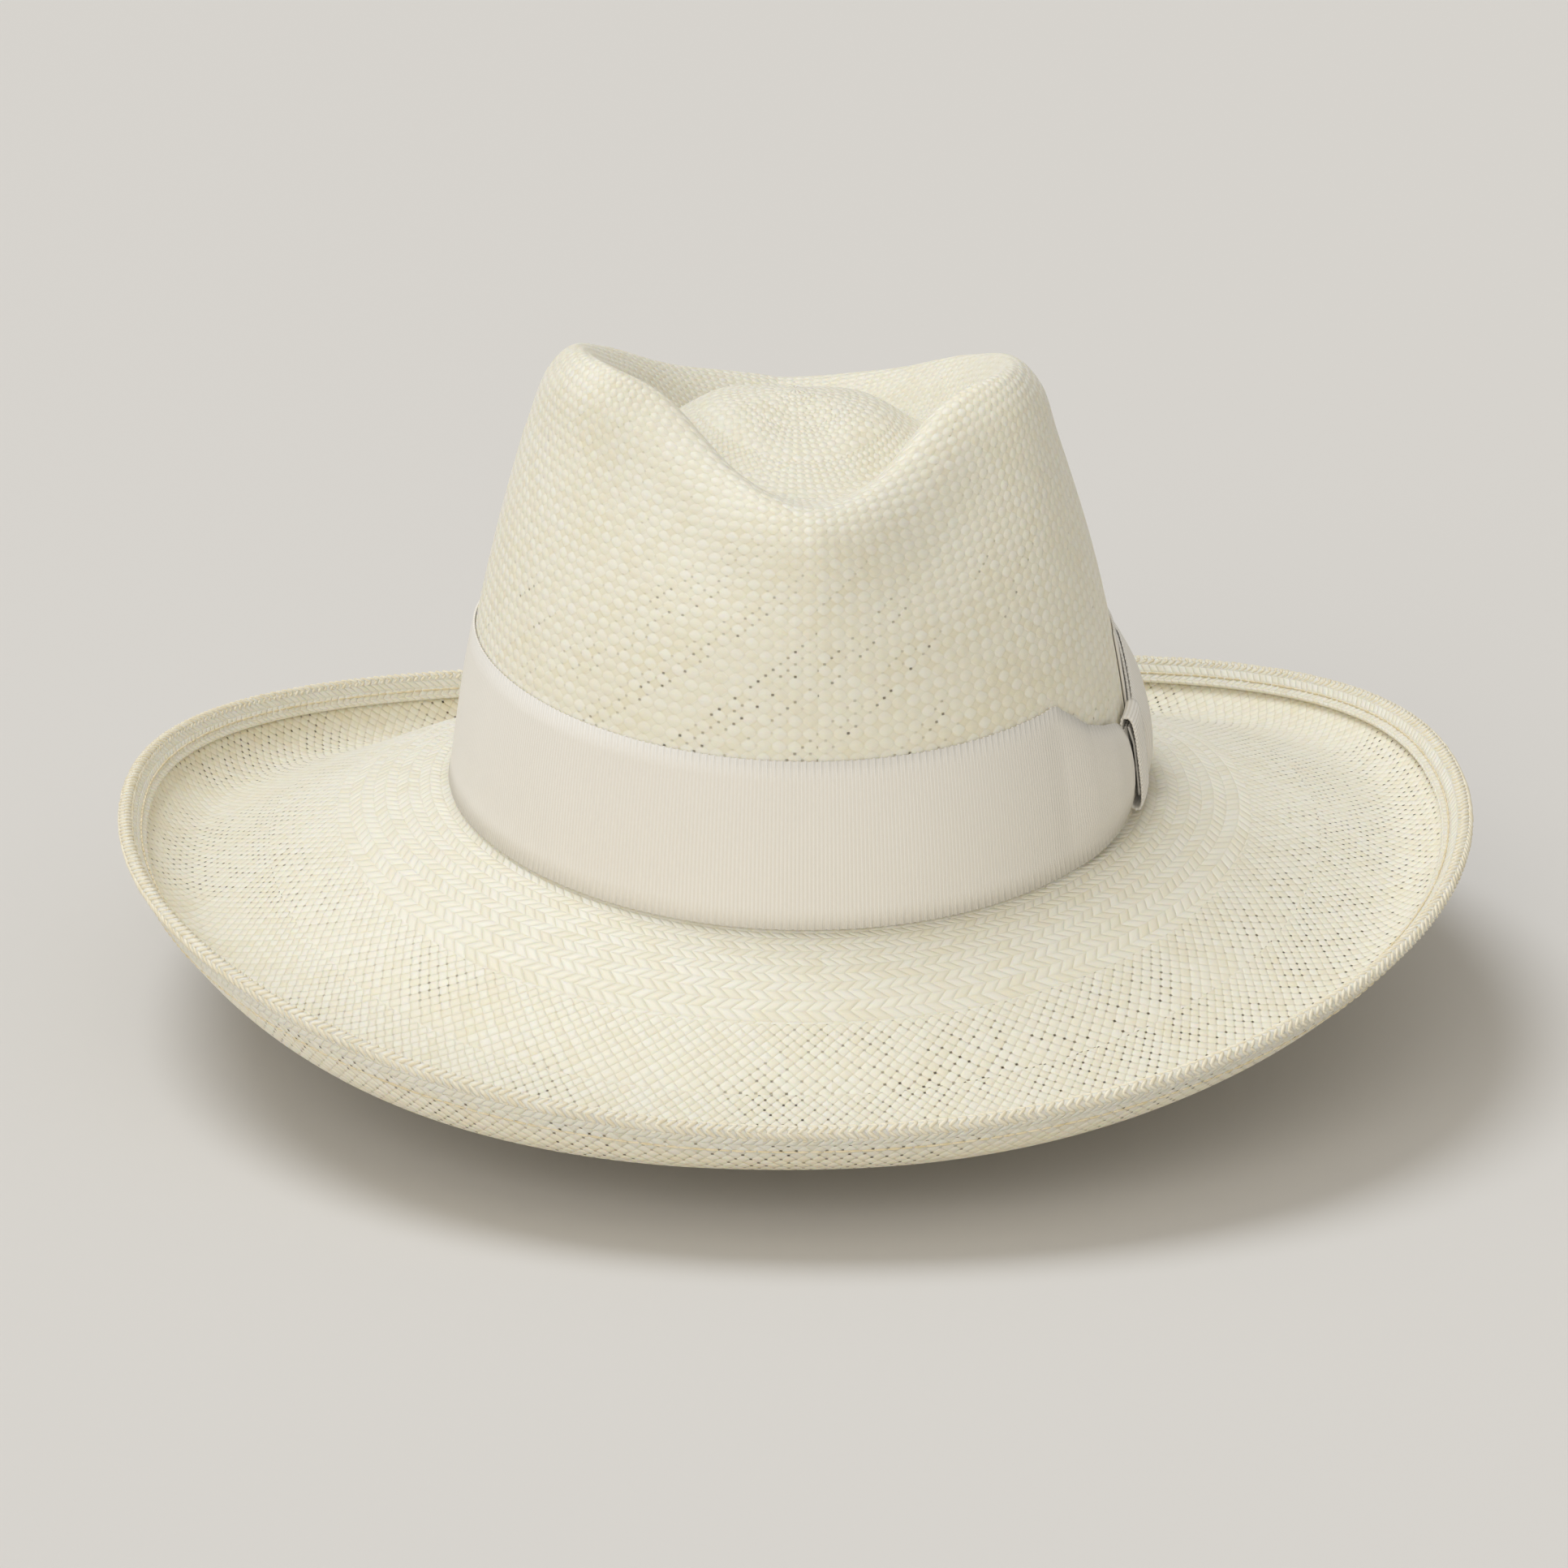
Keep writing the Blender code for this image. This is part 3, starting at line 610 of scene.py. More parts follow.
@dataclass(frozen=True)
class WovenStraw:
    """Bleached toquilla palm, split into flat straws and plaited by hand, then pressed on the block.

    Every straw takes the bleach a little differently, so neighbours differ in tone. The straws cross
    at 45 degrees to the rings of the hat, with pinholes where four of them meet, and in the rings
    near the band and along the hem they lie in a herringbone. The eye sees raised ovals with soft
    shade between them and a waxy half gloss. That shade between the ovals, and the dark inside the
    pinholes, are painted into the colour.
    """

    pale: str = "#F5F0E1"
    common: str = "#F2ECDB"
    yellow: str = "#EDE5CF"
    # painted shade: the colour that the low parts between the straws take on
    crevice_shade: str = "#C9BE9C"
    # painted shade: the dark seen through the pinholes
    pinhole_shade: str = "#4A4130"
    relief: float = 0.00030  # metres from the foot of a straw to its top

    def make(self, name: str = "woven_toquilla_straw") -> bpy.types.Material:
        """Build the material, whose pattern map counts one unit for each crossing round the hat."""
        made, tree = blank_material(name)
        place = add_node(tree, "ShaderNodeUVMap", uv_map="pattern")
        uv = add_node(tree, "ShaderNodeSeparateXYZ", {0: place})
        known: dict[str, Any] = {"u": uv.outputs[0], "v": uv.outputs[1]}
        for mark, attribute in (("ringed", "herringbone"), ("loose", "openness"), ("proud", "oval")):
            known[mark] = add_node(tree, "ShaderNodeAttribute", attribute_name=attribute).outputs["Fac"]
        work_out(tree, known, CROSSING)

        which = add_node(tree, XYZ, {0: known["piece"], 1: known["far"], 2: known["under"]})
        in_row = add_node(tree, XYZ, {0: known["stroke"], 1: known["row"], 2: 7.0})
        which = add_node(tree, MIX, {0: known["ringed"], 4: which, 5: in_row}, data_type="VECTOR").outputs[1]
        known["tone"] = add_node(tree, WHITE_NOISE, {"Vector": which}, noise_dimensions="3D").outputs["Value"]
        there = add_node(tree, "ShaderNodeTexCoord").outputs["Object"]
        known["cloud"] = add_node(tree, *noise_of(there, 28.0, 3.0))
        known["fibre"] = add_node(tree, *noise_of(there, 2600.0, 2.0))
        work_out(tree, known, TONE)
        ramp = add_node(tree, "ShaderNodeValToRGB", {0: known["shade"]})
        stops = ramp.color_ramp.elements
        stops.new(0.62)
        for stop, position, colour in zip(stops, (0.28, 0.62, 1.0), (self.pale, self.common, self.yellow)):
            stop.position, stop.color = position, linear(colour)
        # painted shade: the lower the weave's height, the more the colour goes to the crevice shade
        painted_crevice_shade = add_node(tree, *ranged(known["height"], 0.36, 0.02, 0.0, 0.27))
        shaded = blend(tree, painted_crevice_shade, ramp, linear(self.crevice_shade))

        # painted shade: the pinholes are painted dark where four straws meet, for the shaded inside that
        # shows through them
        known["pore"] = add_node(tree, *ranged(known["corner"], 0.56, 0.78, 0.0, 1.0))
        spot = add_node(tree, XYZ, {0: known["a_near"], 1: known["b_near"], 2: 3.0})
        chance = add_node(tree, WHITE_NOISE, {"Vector": spot}, noise_dimensions="3D").outputs["Value"]
        known["lucky"] = add_node(tree, *ranged(chance, 0.2, 0.9, 0.1, 1.0))
        patch = add_node(tree, *noise_of(there, 19.0, 1.0))
        known["patch"] = add_node(tree, *ranged(patch, 0.42, 0.54, 0.03, 1.0))
        streak = add_node(tree, WHITE_NOISE, {"W": known["a_near"]}, noise_dimensions="1D").outputs["Value"]
        known["streak"] = add_node(tree, *ranged(streak, 0.45, 0.7, 0.06, 1.0))
        work_out(tree, known, PINHOLES)
        finish_shader(
            tree,
            blend(tree, known["pore"], shaded, linear(self.pinhole_shade)),
            {"Height": known["lowered"], "Strength": 1.0, "Distance": self.relief},
            {
                "Roughness": 0.46,
                "IOR": 1.5,
                "Specular IOR Level": 0.3,
                "Subsurface Weight": 0.45,
                "Subsurface Radius": (1.0, 0.75, 0.4),
                "Subsurface Scale": 0.003,
            },
        )
        return made


@dataclass(frozen=True)
class Grosgrain:
    """Grosgrain ribbon: fine silky warp over thick weft cords, so the face is ribbed across its width.

    The eye sees even vertical ribs with a soft shine on each, and a scalloped selvedge. The grooves between
    the ribs are painted darker as shade.
    """

    colour: str = "#F5F3EE"
    # painted shade: the colour of the grooves between the ribs
    groove_shade: str = "#E6E2D9"
    pitch: float = 0.95

    def make(self, name: str = "ivory_grosgrain") -> bpy.types.Material:
        """Build the material, whose pattern map is in millimetres along and across the ribbon."""
        made, tree = blank_material(name)
        place = add_node(tree, "ShaderNodeUVMap", uv_map="pattern")
        there = add_node(tree, "ShaderNodeTexCoord").outputs["Object"]
        known: dict[str, Any] = {
            "u": add_node(tree, "ShaderNodeSeparateXYZ", {0: place}),
            "cloud": add_node(tree, *noise_of(there, 60.0, 3.0)),
            "fine": add_node(tree, *noise_of(there, 3200.0, 1.0)),
        }
        ribs: tuple[Step, ...] = (
            ("turn", "MULTIPLY", "u", 2 * math.pi / self.pitch),
            ("wave", "COSINE", "turn"),
            ("rib", "MULTIPLY_ADD", "wave", 0.5, 0.5),
            ("height", "MULTIPLY_ADD", "fine", 0.25, "rib"),
        )
        work_out(tree, known, ribs)
        # painted shade in the grooves between the ribs, plus a random cloud of tone
        known["dark"] = add_node(tree, *ranged(known["rib"], 0.55, 0.0, 0.0, 0.85))
        work_out(tree, known, [("dark", "MULTIPLY_ADD", "cloud", 0.18, "dark")])
        finish_shader(
            tree,
            blend(tree, known["dark"], linear(self.colour), linear(self.groove_shade)),
            {"Height": known["height"], "Strength": 0.8, "Distance": 0.00018},
            {"Roughness": 0.58, "Sheen Weight": 0.25, "Sheen Roughness": 0.4},
        )
        return made


@dataclass(frozen=True)
class Leather:
    """Thin tanned sheep leather, finished smooth: tan, with a fine pebble and a soft polish."""

    colour: str = "#B98D5D"
    dark: str = "#8F6840"

    def make(self, name: str = "tan_roan_leather") -> bpy.types.Material:
        """Build the material on object coordinates."""
        made, tree = blank_material(name)
        there = add_node(tree, "ShaderNodeTexCoord").outputs["Object"]
        cells = add_node(tree, "ShaderNodeTexVoronoi", {"Vector": there, "Scale": 900.0})
        cloud = add_node(tree, *noise_of(there, 45.0, 4.0))
        finish_shader(
            tree,
            blend(tree, cloud, linear(self.colour), linear(self.dark)),
            {"Height": cells, "Strength": 0.5, "Distance": 0.00012},
            {"Roughness": 0.42},
        )
        return made


@dataclass(frozen=True)
class Spun:
    """Spun cotton, straw ends or plain cloth: a matt fibre with small streaks of tone."""

    colour: str
    dark: str
    name: str
    roughness: float = 0.7

    def make(self) -> bpy.types.Material:
        """Build the material on object coordinates."""
        made, tree = blank_material(self.name)
        there = add_node(tree, "ShaderNodeTexCoord").outputs["Object"]
        noise = add_node(tree, *noise_of(there, 420.0, 3.0))
        level = add_node(tree, *ranged(noise, 0.35, 0.68, 0.0, 1.0))
        finish_shader(
            tree,
            blend(tree, level, linear(self.colour), linear(self.dark)),
            {"Height": noise, "Strength": 0.4, "Distance": 0.0001},
            {"Roughness": self.roughness},
        )
        return made


# ---------------------------------------------------------------- sub-assemblies


class Weave(Enum):
    """How the straws lie in a zone of the hat."""

    PLAIN = "plain"
    OVAL = "oval"  # one family of straws stands proud of the other
    HERRINGBONE = "herringbone"


@dataclass
class StrawBody:
    """Crown, brim and hem in one weave."""

    form: HatForm
    finish: bpy.types.Material
    edge_finish: bpy.types.Material
    columns: int = 312
    fine: int = 4
    crown_zones: tuple[tuple[float, int], ...] = ((6, 12), (10, 20), (17, 34), (28, 56), (46, 92), (999, 136))
    brim_zones: tuple[tuple[float, int, Weave], ...] = (
        (126, 206, Weave.HERRINGBONE),
        (146, 242, Weave.PLAIN),
        (999, 305, Weave.PLAIN),
    )
    edge_count: int = 440
    braid_count: int = 470
    braid_sink: float = 0.12
    braid_size: tuple[float, float] = (3.0, 1.0)
    braid_rows: tuple[tuple[float, float], ...] = (
        (-0.75, 0.62),
        (0.35, -0.62),
        (1.45, 0.62),
        (2.55, -0.62),
        (3.6, 0.62),
    )
    crown_spans: int = 11
    row_share: float = 0.77  # height of the crown wall's rows for their width
    tip_radius: float = 46.0
    spans: tuple[int, ...] = (2, 2, 1, 2, 2, 2, 2, 2, 1, 1, 1, 1, 1, 1, 1, 1, 2, 1, 1, 1)

    def rings(self) -> tuple[np.ndarray, int, int]:
        """Every ring, and the numbers of the rings where the brim and the hem start."""
        degrees = np.arange(self.columns) * 360.0 / self.columns
        form = self.form
        curl = form.curl_controls(degrees)
        controls = form.crown_controls(degrees) + form.brim_controls(degrees) + curl
        steps = [n * self.fine for n in self.spans]
        body = rings_through(controls, steps)
        hem = np.stack(form.hem_rings(degrees, curl, 4))
        return np.concatenate([body, hem]), sum(steps[: self.crown_spans]), sum(steps[:-1])

    def zone(self, ring: int, radius: float, brim: int, edge: int) -> tuple[int, Weave]:
        """The number of crossings round the hat at a ring, and how its straws lie."""
        if ring >= edge:
            return self.edge_count, Weave.HERRINGBONE
        if ring >= brim:
            return next((n, w) for limit, n, w in self.brim_zones if radius < limit)
        return next((n, Weave.OVAL) for limit, n in self.crown_zones if radius < limit)

    def openness(self, grid: np.ndarray, brim: int) -> np.ndarray:
        """How wide the pinholes stand open: most on the outer brim and low on the crown's wall."""
        x, y, z = grid[..., 0], grid[..., 1], grid[..., 2]
        row = np.arange(len(grid))[:, None]
        radius = np.hypot(x, y * 0.93)
        outer = np.clip((radius - 118.0) / 16.0, 0.0, 1.0)
        wall = np.clip((118.0 - z) / 26.0, 0.0, 1.0) * 0.75 + 0.25
        return np.where(row >= brim, 0.15 + 0.85 * outer, wall * 0.8)

    def build(self) -> bpy.types.Object:
        """Build the straw body with its pattern map and the marks of its zones."""
        grid, brim, edge = self.rings()
        rows, columns = grid.shape[:2]
        looped = np.concatenate([grid, grid[:, :1]], axis=1)
        radius = np.linalg.norm(np.diff(looped, axis=1), axis=2).sum(axis=1) / (2 * math.pi)
        step = np.linalg.norm(np.diff(grid, axis=0), axis=2)
        uv = np.zeros((rows - 1, 2, columns + 1, 2))
        marks = {Weave.HERRINGBONE: np.zeros((rows - 1, columns)), Weave.OVAL: np.zeros((rows - 1, columns))}
        v = np.zeros(columns)
        last, wall = None, 0
        for r in range(rows - 1):
            middle = (radius[r] + radius[r + 1]) / 2
            count, weave = self.zone(r, middle, brim, edge)
            if count != last:
                v, last = np.zeros(columns), count
                wall = r if r < brim else wall
            low = self.row_share if r < brim and middle > self.tip_radius else 1.0
            period = 2 * math.pi * middle / count * low
            after = v + step[r] / period
            for side, value in ((0, v), (1, after)):
                uv[r, side, :, 0] = np.arange(columns + 1) * count / columns
                uv[r, side, :, 1] = np.append(value, value[0])
            if weave in marks:
                marks[weave][r] = 1.0
            v = after
        foot = uv[brim - 1, 1, :, 1].copy()
        uv[wall:brim, :, :, 1] += np.round(foot.mean()) - foot  # its rows run level with the band
        pole = (0.0, self.form.apex_y, self.form.apex_z)
        mesh = grid_mesh("woven_body", grid, uv, wrap=True, pole=pole)
        for weave, rows_marked in marks.items():
            values = np.concatenate([rows_marked.ravel(), np.zeros(columns)]).astype(np.float32)
            mesh.attributes.new(weave.value, "FLOAT", "FACE").data.foreach_set("value", values)
        loose = np.append(self.openness(grid, brim).ravel(), 0.2).astype(np.float32)
        mesh.attributes.new("openness", "FLOAT", "POINT").data.foreach_set("value", loose)
        made = add_object("woven_body", mesh, self.finish)
        thicken(made, self.form.straw)
        applied(made)
        places = np.empty(len(made.data.vertices) * 3)
        made.data.vertices.foreach_get("co", places)
        places[2::3] = np.maximum(places[2::3], 0.0)  # nothing lies below the rests
        made.data.vertices.foreach_set("co", places)
        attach(made, "root")
        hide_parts("straw_body")
        return made

    def build_edge(self) -> bpy.types.Object:
        """Lay the braid of straw ends that is worked over the fold of the rim."""
        form = self.form
        degrees = np.arange(self.braid_count) * 360.0 / self.braid_count
        curl = form.curl_controls(degrees)
        along, inward = form.square_to(curl[-1] - curl[-2], degrees)
        centre = curl[-1] + inward * form.hem_radius
        ahead = unit(np.roll(centre, -1, axis=0) - np.roll(centre, 1, axis=0))
        places, ways = [], []
        reach = form.hem_radius + form.straw / 2 - self.braid_sink
        for angle, lean in self.braid_rows:
            out = along * math.sin(angle) - inward * math.cos(angle)
            over = along * math.cos(angle) + inward * math.sin(angle)
            places.append(centre + out * reach)
            ways.append(unit(ahead * 0.8 + over * lean))
        strokes = Strokes(*self.braid_size, self.edge_finish)
        made = strokes.lay("rim_braid", np.concatenate(places), np.concatenate(ways))
        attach(made, "root")
        return made


@dataclass
class HemStitching:
    """The lockstitch through the hem, seen as a row of stitches inside and outside the rim."""

    form: HatForm
    finish: bpy.types.Material
    pitch: float = 3.1
    thread: float = 0.42
    length: float = 1115.0  # round the rim

    def build(self) -> list[bpy.types.Object]:
        """Build both rows of stitches."""
        form = self.form
        count = int(self.length / self.pitch)
        degrees = np.arange(count) * 360.0 / count
        curl = form.curl_controls(degrees)
        hem = form.hem_rings(degrees, curl)
        clear = form.straw / 2 + self.thread * 0.35
        inner = hem[-1] * 0.62 + hem[-9] * 0.38 + form.square_to(hem[-9] - hem[-1], degrees)[1] * clear
        outer = curl[-2] * 0.55 + curl[-3] * 0.45 - form.square_to(curl[-2] - curl[-3], degrees)[1] * clear
        made = []
        for name, line, node in (
            ("hem_stitches_inside", inner, "hem_thread_upper"),
            ("hem_stitches_outside", outer, "hem_thread_lower"),
        ):
            ahead = unit(np.roll(line, -1, axis=0) - np.roll(line, 1, axis=0))
            piece = Strokes(self.pitch * 0.98, self.thread * 1.5, self.finish).lay(name, line, ahead)
            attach(piece, "root")
            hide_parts(node)
            made.append(piece)
        return made


@dataclass
class RibbonWork:
    """Everything that is cut from ribbed ribbon: the band, the side bow and the trim inside."""

    form: HatForm
    finish: bpy.types.Material
    ribbon: float = 0.5
    pitch: float = 0.95
    rib_depth: float = 0.07
    scallop: float = 0.09
    band: tuple[float, float] = (0.6, 40.6)
    knot: tuple[float, float] = (69.5, 77.5)
    knot_height: tuple[float, float] = (1.6, 25.0)
    neck: tuple[float, float] = (4.4, 21.8)
    gather_from: float = 46.5
    gather_bulge: float = 2.6
    gather_tops: tuple[float, ...] = (37.0, 32.0, 28.6, 26.0)
    wing_to: float = 109.0
    wing: tuple[float, float] = (2.6, 35.0)
    wing_bulge: float = 3.0
    tail_to: float = 119.0

    @property
    def band_out(self) -> float:
        """Distance of the band's middle from the straw's middle."""
        return self.form.straw / 2 + self.form.gap + self.ribbon / 2

    @property
    def layer(self) -> float:
        """Distance between two layers of ribbon that lie on each other."""
        return self.ribbon + self.form.gap

    def woven(
        self, name: str, grid: np.ndarray, thickness: float, closed: bool = False, across: int = 2
    ) -> bpy.types.Object:
        """Make a ribbed ribbon through a coarse grid.

        Args:
            name: The piece's name.
            grid: Control points in millimetres, across the ribbon by along it.
            thickness: The ribbon's thickness.
            closed: Whether the ribbon's length joins itself.
            across: Steps between two rows of the grid.

        Returns:
            The piece, with its ribs, its scalloped selvedges and a map in millimetres.
        """
        lines = [grid[:, c] for c in range(grid.shape[1])]
        if closed:
            lines.append(lines[0])
        chord = np.linalg.norm(np.diff(np.stack(lines), axis=0), axis=2).mean(axis=1)
        fine = rings_through(lines, [max(1, round(c / (self.pitch / 5))) for c in chord])
        fine = rings_through([fine[:, r] for r in range(fine.shape[1])], [across] * (grid.shape[0] - 1))
        length = np.linalg.norm(np.diff(fine, axis=1), axis=2).mean(axis=0)
        run = np.concatenate([[0.0], np.cumsum(length)])
        width = np.concatenate([[0.0], np.cumsum(np.linalg.norm(np.diff(fine, axis=0), axis=2).mean(axis=1))])
        rib = np.cos(2 * math.pi * run / self.pitch)[None, :, None]
        fine = fine + normals_of(fine) * rib * self.rib_depth
        wave = self.scallop * np.cos(math.pi * run / self.pitch)[:, None]
        fine[0] += unit(fine[0] - fine[1]) * wave
        fine[-1] += unit(fine[-1] - fine[-2]) * wave
        rows, columns = fine.shape[:2]
        if closed:
            fine, columns = fine[:, :-1], columns - 1
        uv = np.zeros((rows - 1, 2, columns + 1, 2))
        uv[..., 0] = run[: columns + 1] if closed else np.append(run, run[-1])
        uv[:, 0, :, 1], uv[:, 1, :, 1] = width[:-1, None], width[1:, None]
        made = add_object(name, grid_mesh(name, fine, uv, wrap=closed), self.finish)
        thicken(made, thickness)
        applied(made)
        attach(made, "root")
        return made

    def build_band(self) -> bpy.types.Object:
        """The ribbon round the crown, gathered where it enters the knot."""
        start, front = self.knot[1] + 3.0, 360.0
        plain = np.arange(84.0, front + self.gather_from, 6.0)
        gather = np.linspace(front + self.gather_from, front + self.knot[1] - 0.5, 24)
        columns = np.concatenate([[start], plain, gather])
        end = self.knot[0] - 0.5
        close = np.clip((columns - front - self.gather_from) / (end - self.gather_from), 0.0, 1.0)
        rows = []
        for share in np.linspace(0.0, 1.0, 9):
            bottom = self.band[0] + close**2 * (self.neck[0] - self.band[0])
            tops = (self.band[1], *self.gather_tops, self.neck[1])
            top = np.interp(close, (0.0, 0.15, 0.35, 0.6, 0.85, 1.0), tops)
            into = columns - front - self.knot[0]
            swell = np.interp(into, (-23.0, -17.0, -9.0, -3.0, -0.3, 1.1), (0.0, 0.6, 1.0, 0.75, 0.55, 0.0))
            puff = self.gather_bulge * swell * (1.0 - (2 * share - 1) ** 2) ** 0.7
            folds = 0.5 * np.sin(math.pi * close) * np.cos(share * 7.5 * math.pi)
            tucked = self.band_out + close * 1.1 * self.layer + (0.45 if share == 0 else 0.0)
            rows.append(self.form.wall(columns, bottom + (top - bottom) * share, tucked + puff + folds))
        made = self.woven("grosgrain_band", np.stack(rows), self.ribbon, across=1)
        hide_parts("crown_band")
        return made

    def build_knot(self) -> bpy.types.Object:
        """The strip wrapped round the gathered ribbon."""
        inner, outer = self.band_out, self.band_out + 4.7 * self.layer
        middle, half = (inner + outer) / 2, (outer - inner) / 2
        low, high = self.knot_height
        turn = np.linspace(0.0, 2 * math.pi, 28, endpoint=False)
        s, c = np.sin(turn), np.cos(turn)
        height = (high + low) / 2 + (high - low) / 2 * np.sign(s) * np.abs(s) ** 0.4
        out = middle + half * np.sign(c) * np.abs(c) ** 0.7
        rows = [self.form.wall(np.full_like(turn, a), height, out) for a in np.linspace(*self.knot, 5)]
        made = self.woven("bow_wrap", np.stack(rows), self.ribbon, closed=True)
        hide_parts("bow_knot")
        return made

    def fanned(self, degrees: np.ndarray) -> np.ndarray:
        """How far the loop has opened from the knot to its full width, from 0 to 1."""
        u = np.clip((degrees - self.knot[1] - 0.8) / 15.0, 0.0, 1.0)
        return u * u * (3.0 - 2.0 * u)

    def build_wing(self) -> bpy.types.Object:
        """The bow's rear loop: out from the knot, puffed, folded and back."""
        outer = np.concatenate([[self.knot[0] + 1.5], np.linspace(self.knot[1] + 0.5, self.wing_to, 12)])
        inner = np.linspace(self.wing_to, self.knot[1] + 1.5, 9)
        columns = np.concatenate([outer, [self.wing_to + 0.7], inner])
        fan = self.fanned(columns)
        rows = []
        for share in np.linspace(0.0, 1.0, 9):
            bottom = self.neck[0] + fan * (self.wing[0] - self.neck[0])
            top = self.neck[1] + fan * (self.wing[1] - self.neck[1])
            u = np.clip((columns - self.knot[1] - 0.5) / (self.wing_to - self.knot[1]), 0.0, 1.0)
            round_up = 1.0 - (1.0 if share > 0.5 else 0.6) * (2 * share - 1) ** 2
            puff = self.wing_bulge * np.sin(math.pi * u**0.55) ** 0.7 * round_up
            lean = min(1.0, 4.0 * (1.0 - share))  # the top selvedge lies against the band
            top_layer = self.band_out + (2.15 + lean) * self.layer + puff
            under_layer = self.band_out + (1.1 + lean) * self.layer
            out = np.where(np.arange(len(columns)) < len(outer), top_layer, under_layer)
            out[len(outer)] = (out[len(outer) - 1] + out[len(outer) + 1]) / 2
            rows.append(self.form.wall(columns, bottom + (top - bottom) * share, out))
        made = self.woven("bow_loop", np.stack(rows), self.ribbon)
        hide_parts("bow_rear_wing")
        return made

    def build_tail(self) -> bpy.types.Object:
        """The cut end of the bow's ribbon, with a slanted edge."""
        rows = []
        for share in np.linspace(0.0, 1.0, 7):
            columns = np.linspace(self.knot[1] + 1.5, self.tail_to - 4.0 * share, 12)
            fan = self.fanned(columns)
            bottom = self.neck[0] + fan * (self.wing[0] + 0.6 - self.neck[0])
            top = self.neck[1] + fan * (self.wing[1] - 9.5 - self.neck[1])
            rows.append(self.form.wall(columns, bottom + (top - bottom) * share, self.band_out + self.layer))
        made = self.woven("bow_tail_end", np.stack(rows), self.ribbon)
        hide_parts("bow_tail")
        return made


@dataclass
class Lining:
    """The leather sweatband inside the crown, with its reed, tape, stitching and seam bow."""

    form: HatForm
    ribbon: RibbonWork
    leather: bpy.types.Material
    cloth: bpy.types.Material
    thread: bpy.types.Material
    label: bpy.types.Material
    nodes: dict[str, bpy.types.Object]
    leather_thickness: float = 1.0
    top: float = 35.0
    seam: float = 180.0

    @property
    def out(self) -> float:
        """Distance of the leather's middle from the straw's middle."""
        return -(self.form.straw / 2 + 1.4 + self.leather_thickness / 2)

    def build_leather(self) -> bpy.types.Object:
        """The leather band, open at its seam, with a slightly wavy free edge."""
        around = np.linspace(self.seam + 1.2, self.seam + 358.8, 300)
        rows = []
        for h in np.linspace(3.1, self.top, 12):
            wave = 0.35 * np.sin(np.radians(around) * 9) * (h / self.top) ** 2
            rows.append(self.form.wall(around, np.full_like(around, h), self.out + wave * 0.8))
        grid = np.stack(rows)
        run = np.concatenate([[0.0], np.cumsum(np.linalg.norm(np.diff(grid[0], axis=0), axis=1))])
        uv = np.zeros((len(rows) - 1, 2, len(around) + 1, 2))
        uv[..., 0] = np.append(run, run[-1])
        made = add_object("leather_sweatband", grid_mesh("leather_sweatband", grid, uv), self.leather)
        thicken(made, self.leather_thickness)
        applied(made)
        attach(made, "root")
        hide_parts("sweatband")
        return made

    def build_tape(self) -> bpy.types.Object:
        """The ribbed tape folded round the reed."""
        around = np.linspace(self.seam + 1.2, self.seam + 358.8, 90)
        centre = self.out - self.leather_thickness / 2 + 0.4
        reed_height, radius = -0.1, 1.0 + self.form.gap + 0.25
        behind = self.out + self.leather_thickness / 2 + self.form.gap + 0.25
        rows = [self.form.wall(around, np.full_like(around, h), behind) for h in (8.0, 4.0)]
        for a in np.radians((10.0, -35.0, -90.0, -145.0, -190.0)):
            height = np.full_like(around, reed_height + radius * math.sin(a))
            rows.append(self.form.wall(around, height, centre + radius * math.cos(a)))
        made = self.ribbon.woven("reed_binding", np.stack(rows), 0.4, across=1)
        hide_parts("reed_tape")
        return made

    def build_stitches(self) -> bpy.types.Object:
        """The stitches along the foot of the leather."""
        around = np.linspace(self.seam + 1.5, self.seam + 358.5, 190)
        face = self.out - self.leather_thickness / 2 - 0.12
        line = self.form.wall(around, np.full_like(around, 5.5), face)
        ahead = unit(np.gradient(line, axis=0))
        made = Strokes(2.5, 0.6, self.thread).lay("sweatband_stitches", line, ahead)
        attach(made, "root")
        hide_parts("sweatband_thread")
        return made

    def dress_nodes(self) -> None:
        """Give the CAD pieces that stay in view their finishes."""
        finishes = {"sweatband_reed": self.cloth, "seam_backing": self.cloth, "size_label": self.label}
        for name, finish in finishes.items():
            self.nodes[name].data.materials.clear()
            self.nodes[name].data.materials.append(finish)

    def build_seam_bow(self) -> list[bpy.types.Object]:
        """The small bow over the seam: two loops and a knot."""
        height, half_width, knot_half = 9.0, 2.2, 1.4
        face = self.out - self.leather_thickness / 2 - 0.6
        degree = 1.0 / math.radians(1.0) / self.form.head_back
        turn = np.linspace(0.0, 2 * math.pi, 24, endpoint=False)
        made = []
        for side, name in ((1.0, "left"), (-1.0, "right")):
            along = knot_half + 0.5 + 8.5 * (1 + np.cos(turn)) / 2
            out = face - 1.0 - 1.5 * (1 + 0.9 * np.sin(turn) * (1 - 0.3 * np.cos(turn)))
            columns = self.seam + side * along * degree
            spread = np.linspace(-half_width, half_width, 4)
            rows = [self.form.wall(columns, np.full_like(columns, height + s), out) for s in spread]
            piece = self.ribbon.woven(f"seam_loop_{name}", np.stack(rows), 0.35, closed=True)
            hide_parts(f"seam_bow_{name}_loop")
            made.append(piece)
        columns = self.seam + np.linspace(-knot_half, knot_half, 4) * degree
        heights, outs = height + 1.9 * np.sin(turn), face - 2.2 + 1.3 * np.cos(turn)
        rows = [self.form.wall(np.full_like(turn, c), heights, outs) for c in columns]
        piece = self.ribbon.woven("seam_knot", np.stack(rows), 0.35, closed=True)
        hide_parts("seam_bow_knot")
        return made + [piece]


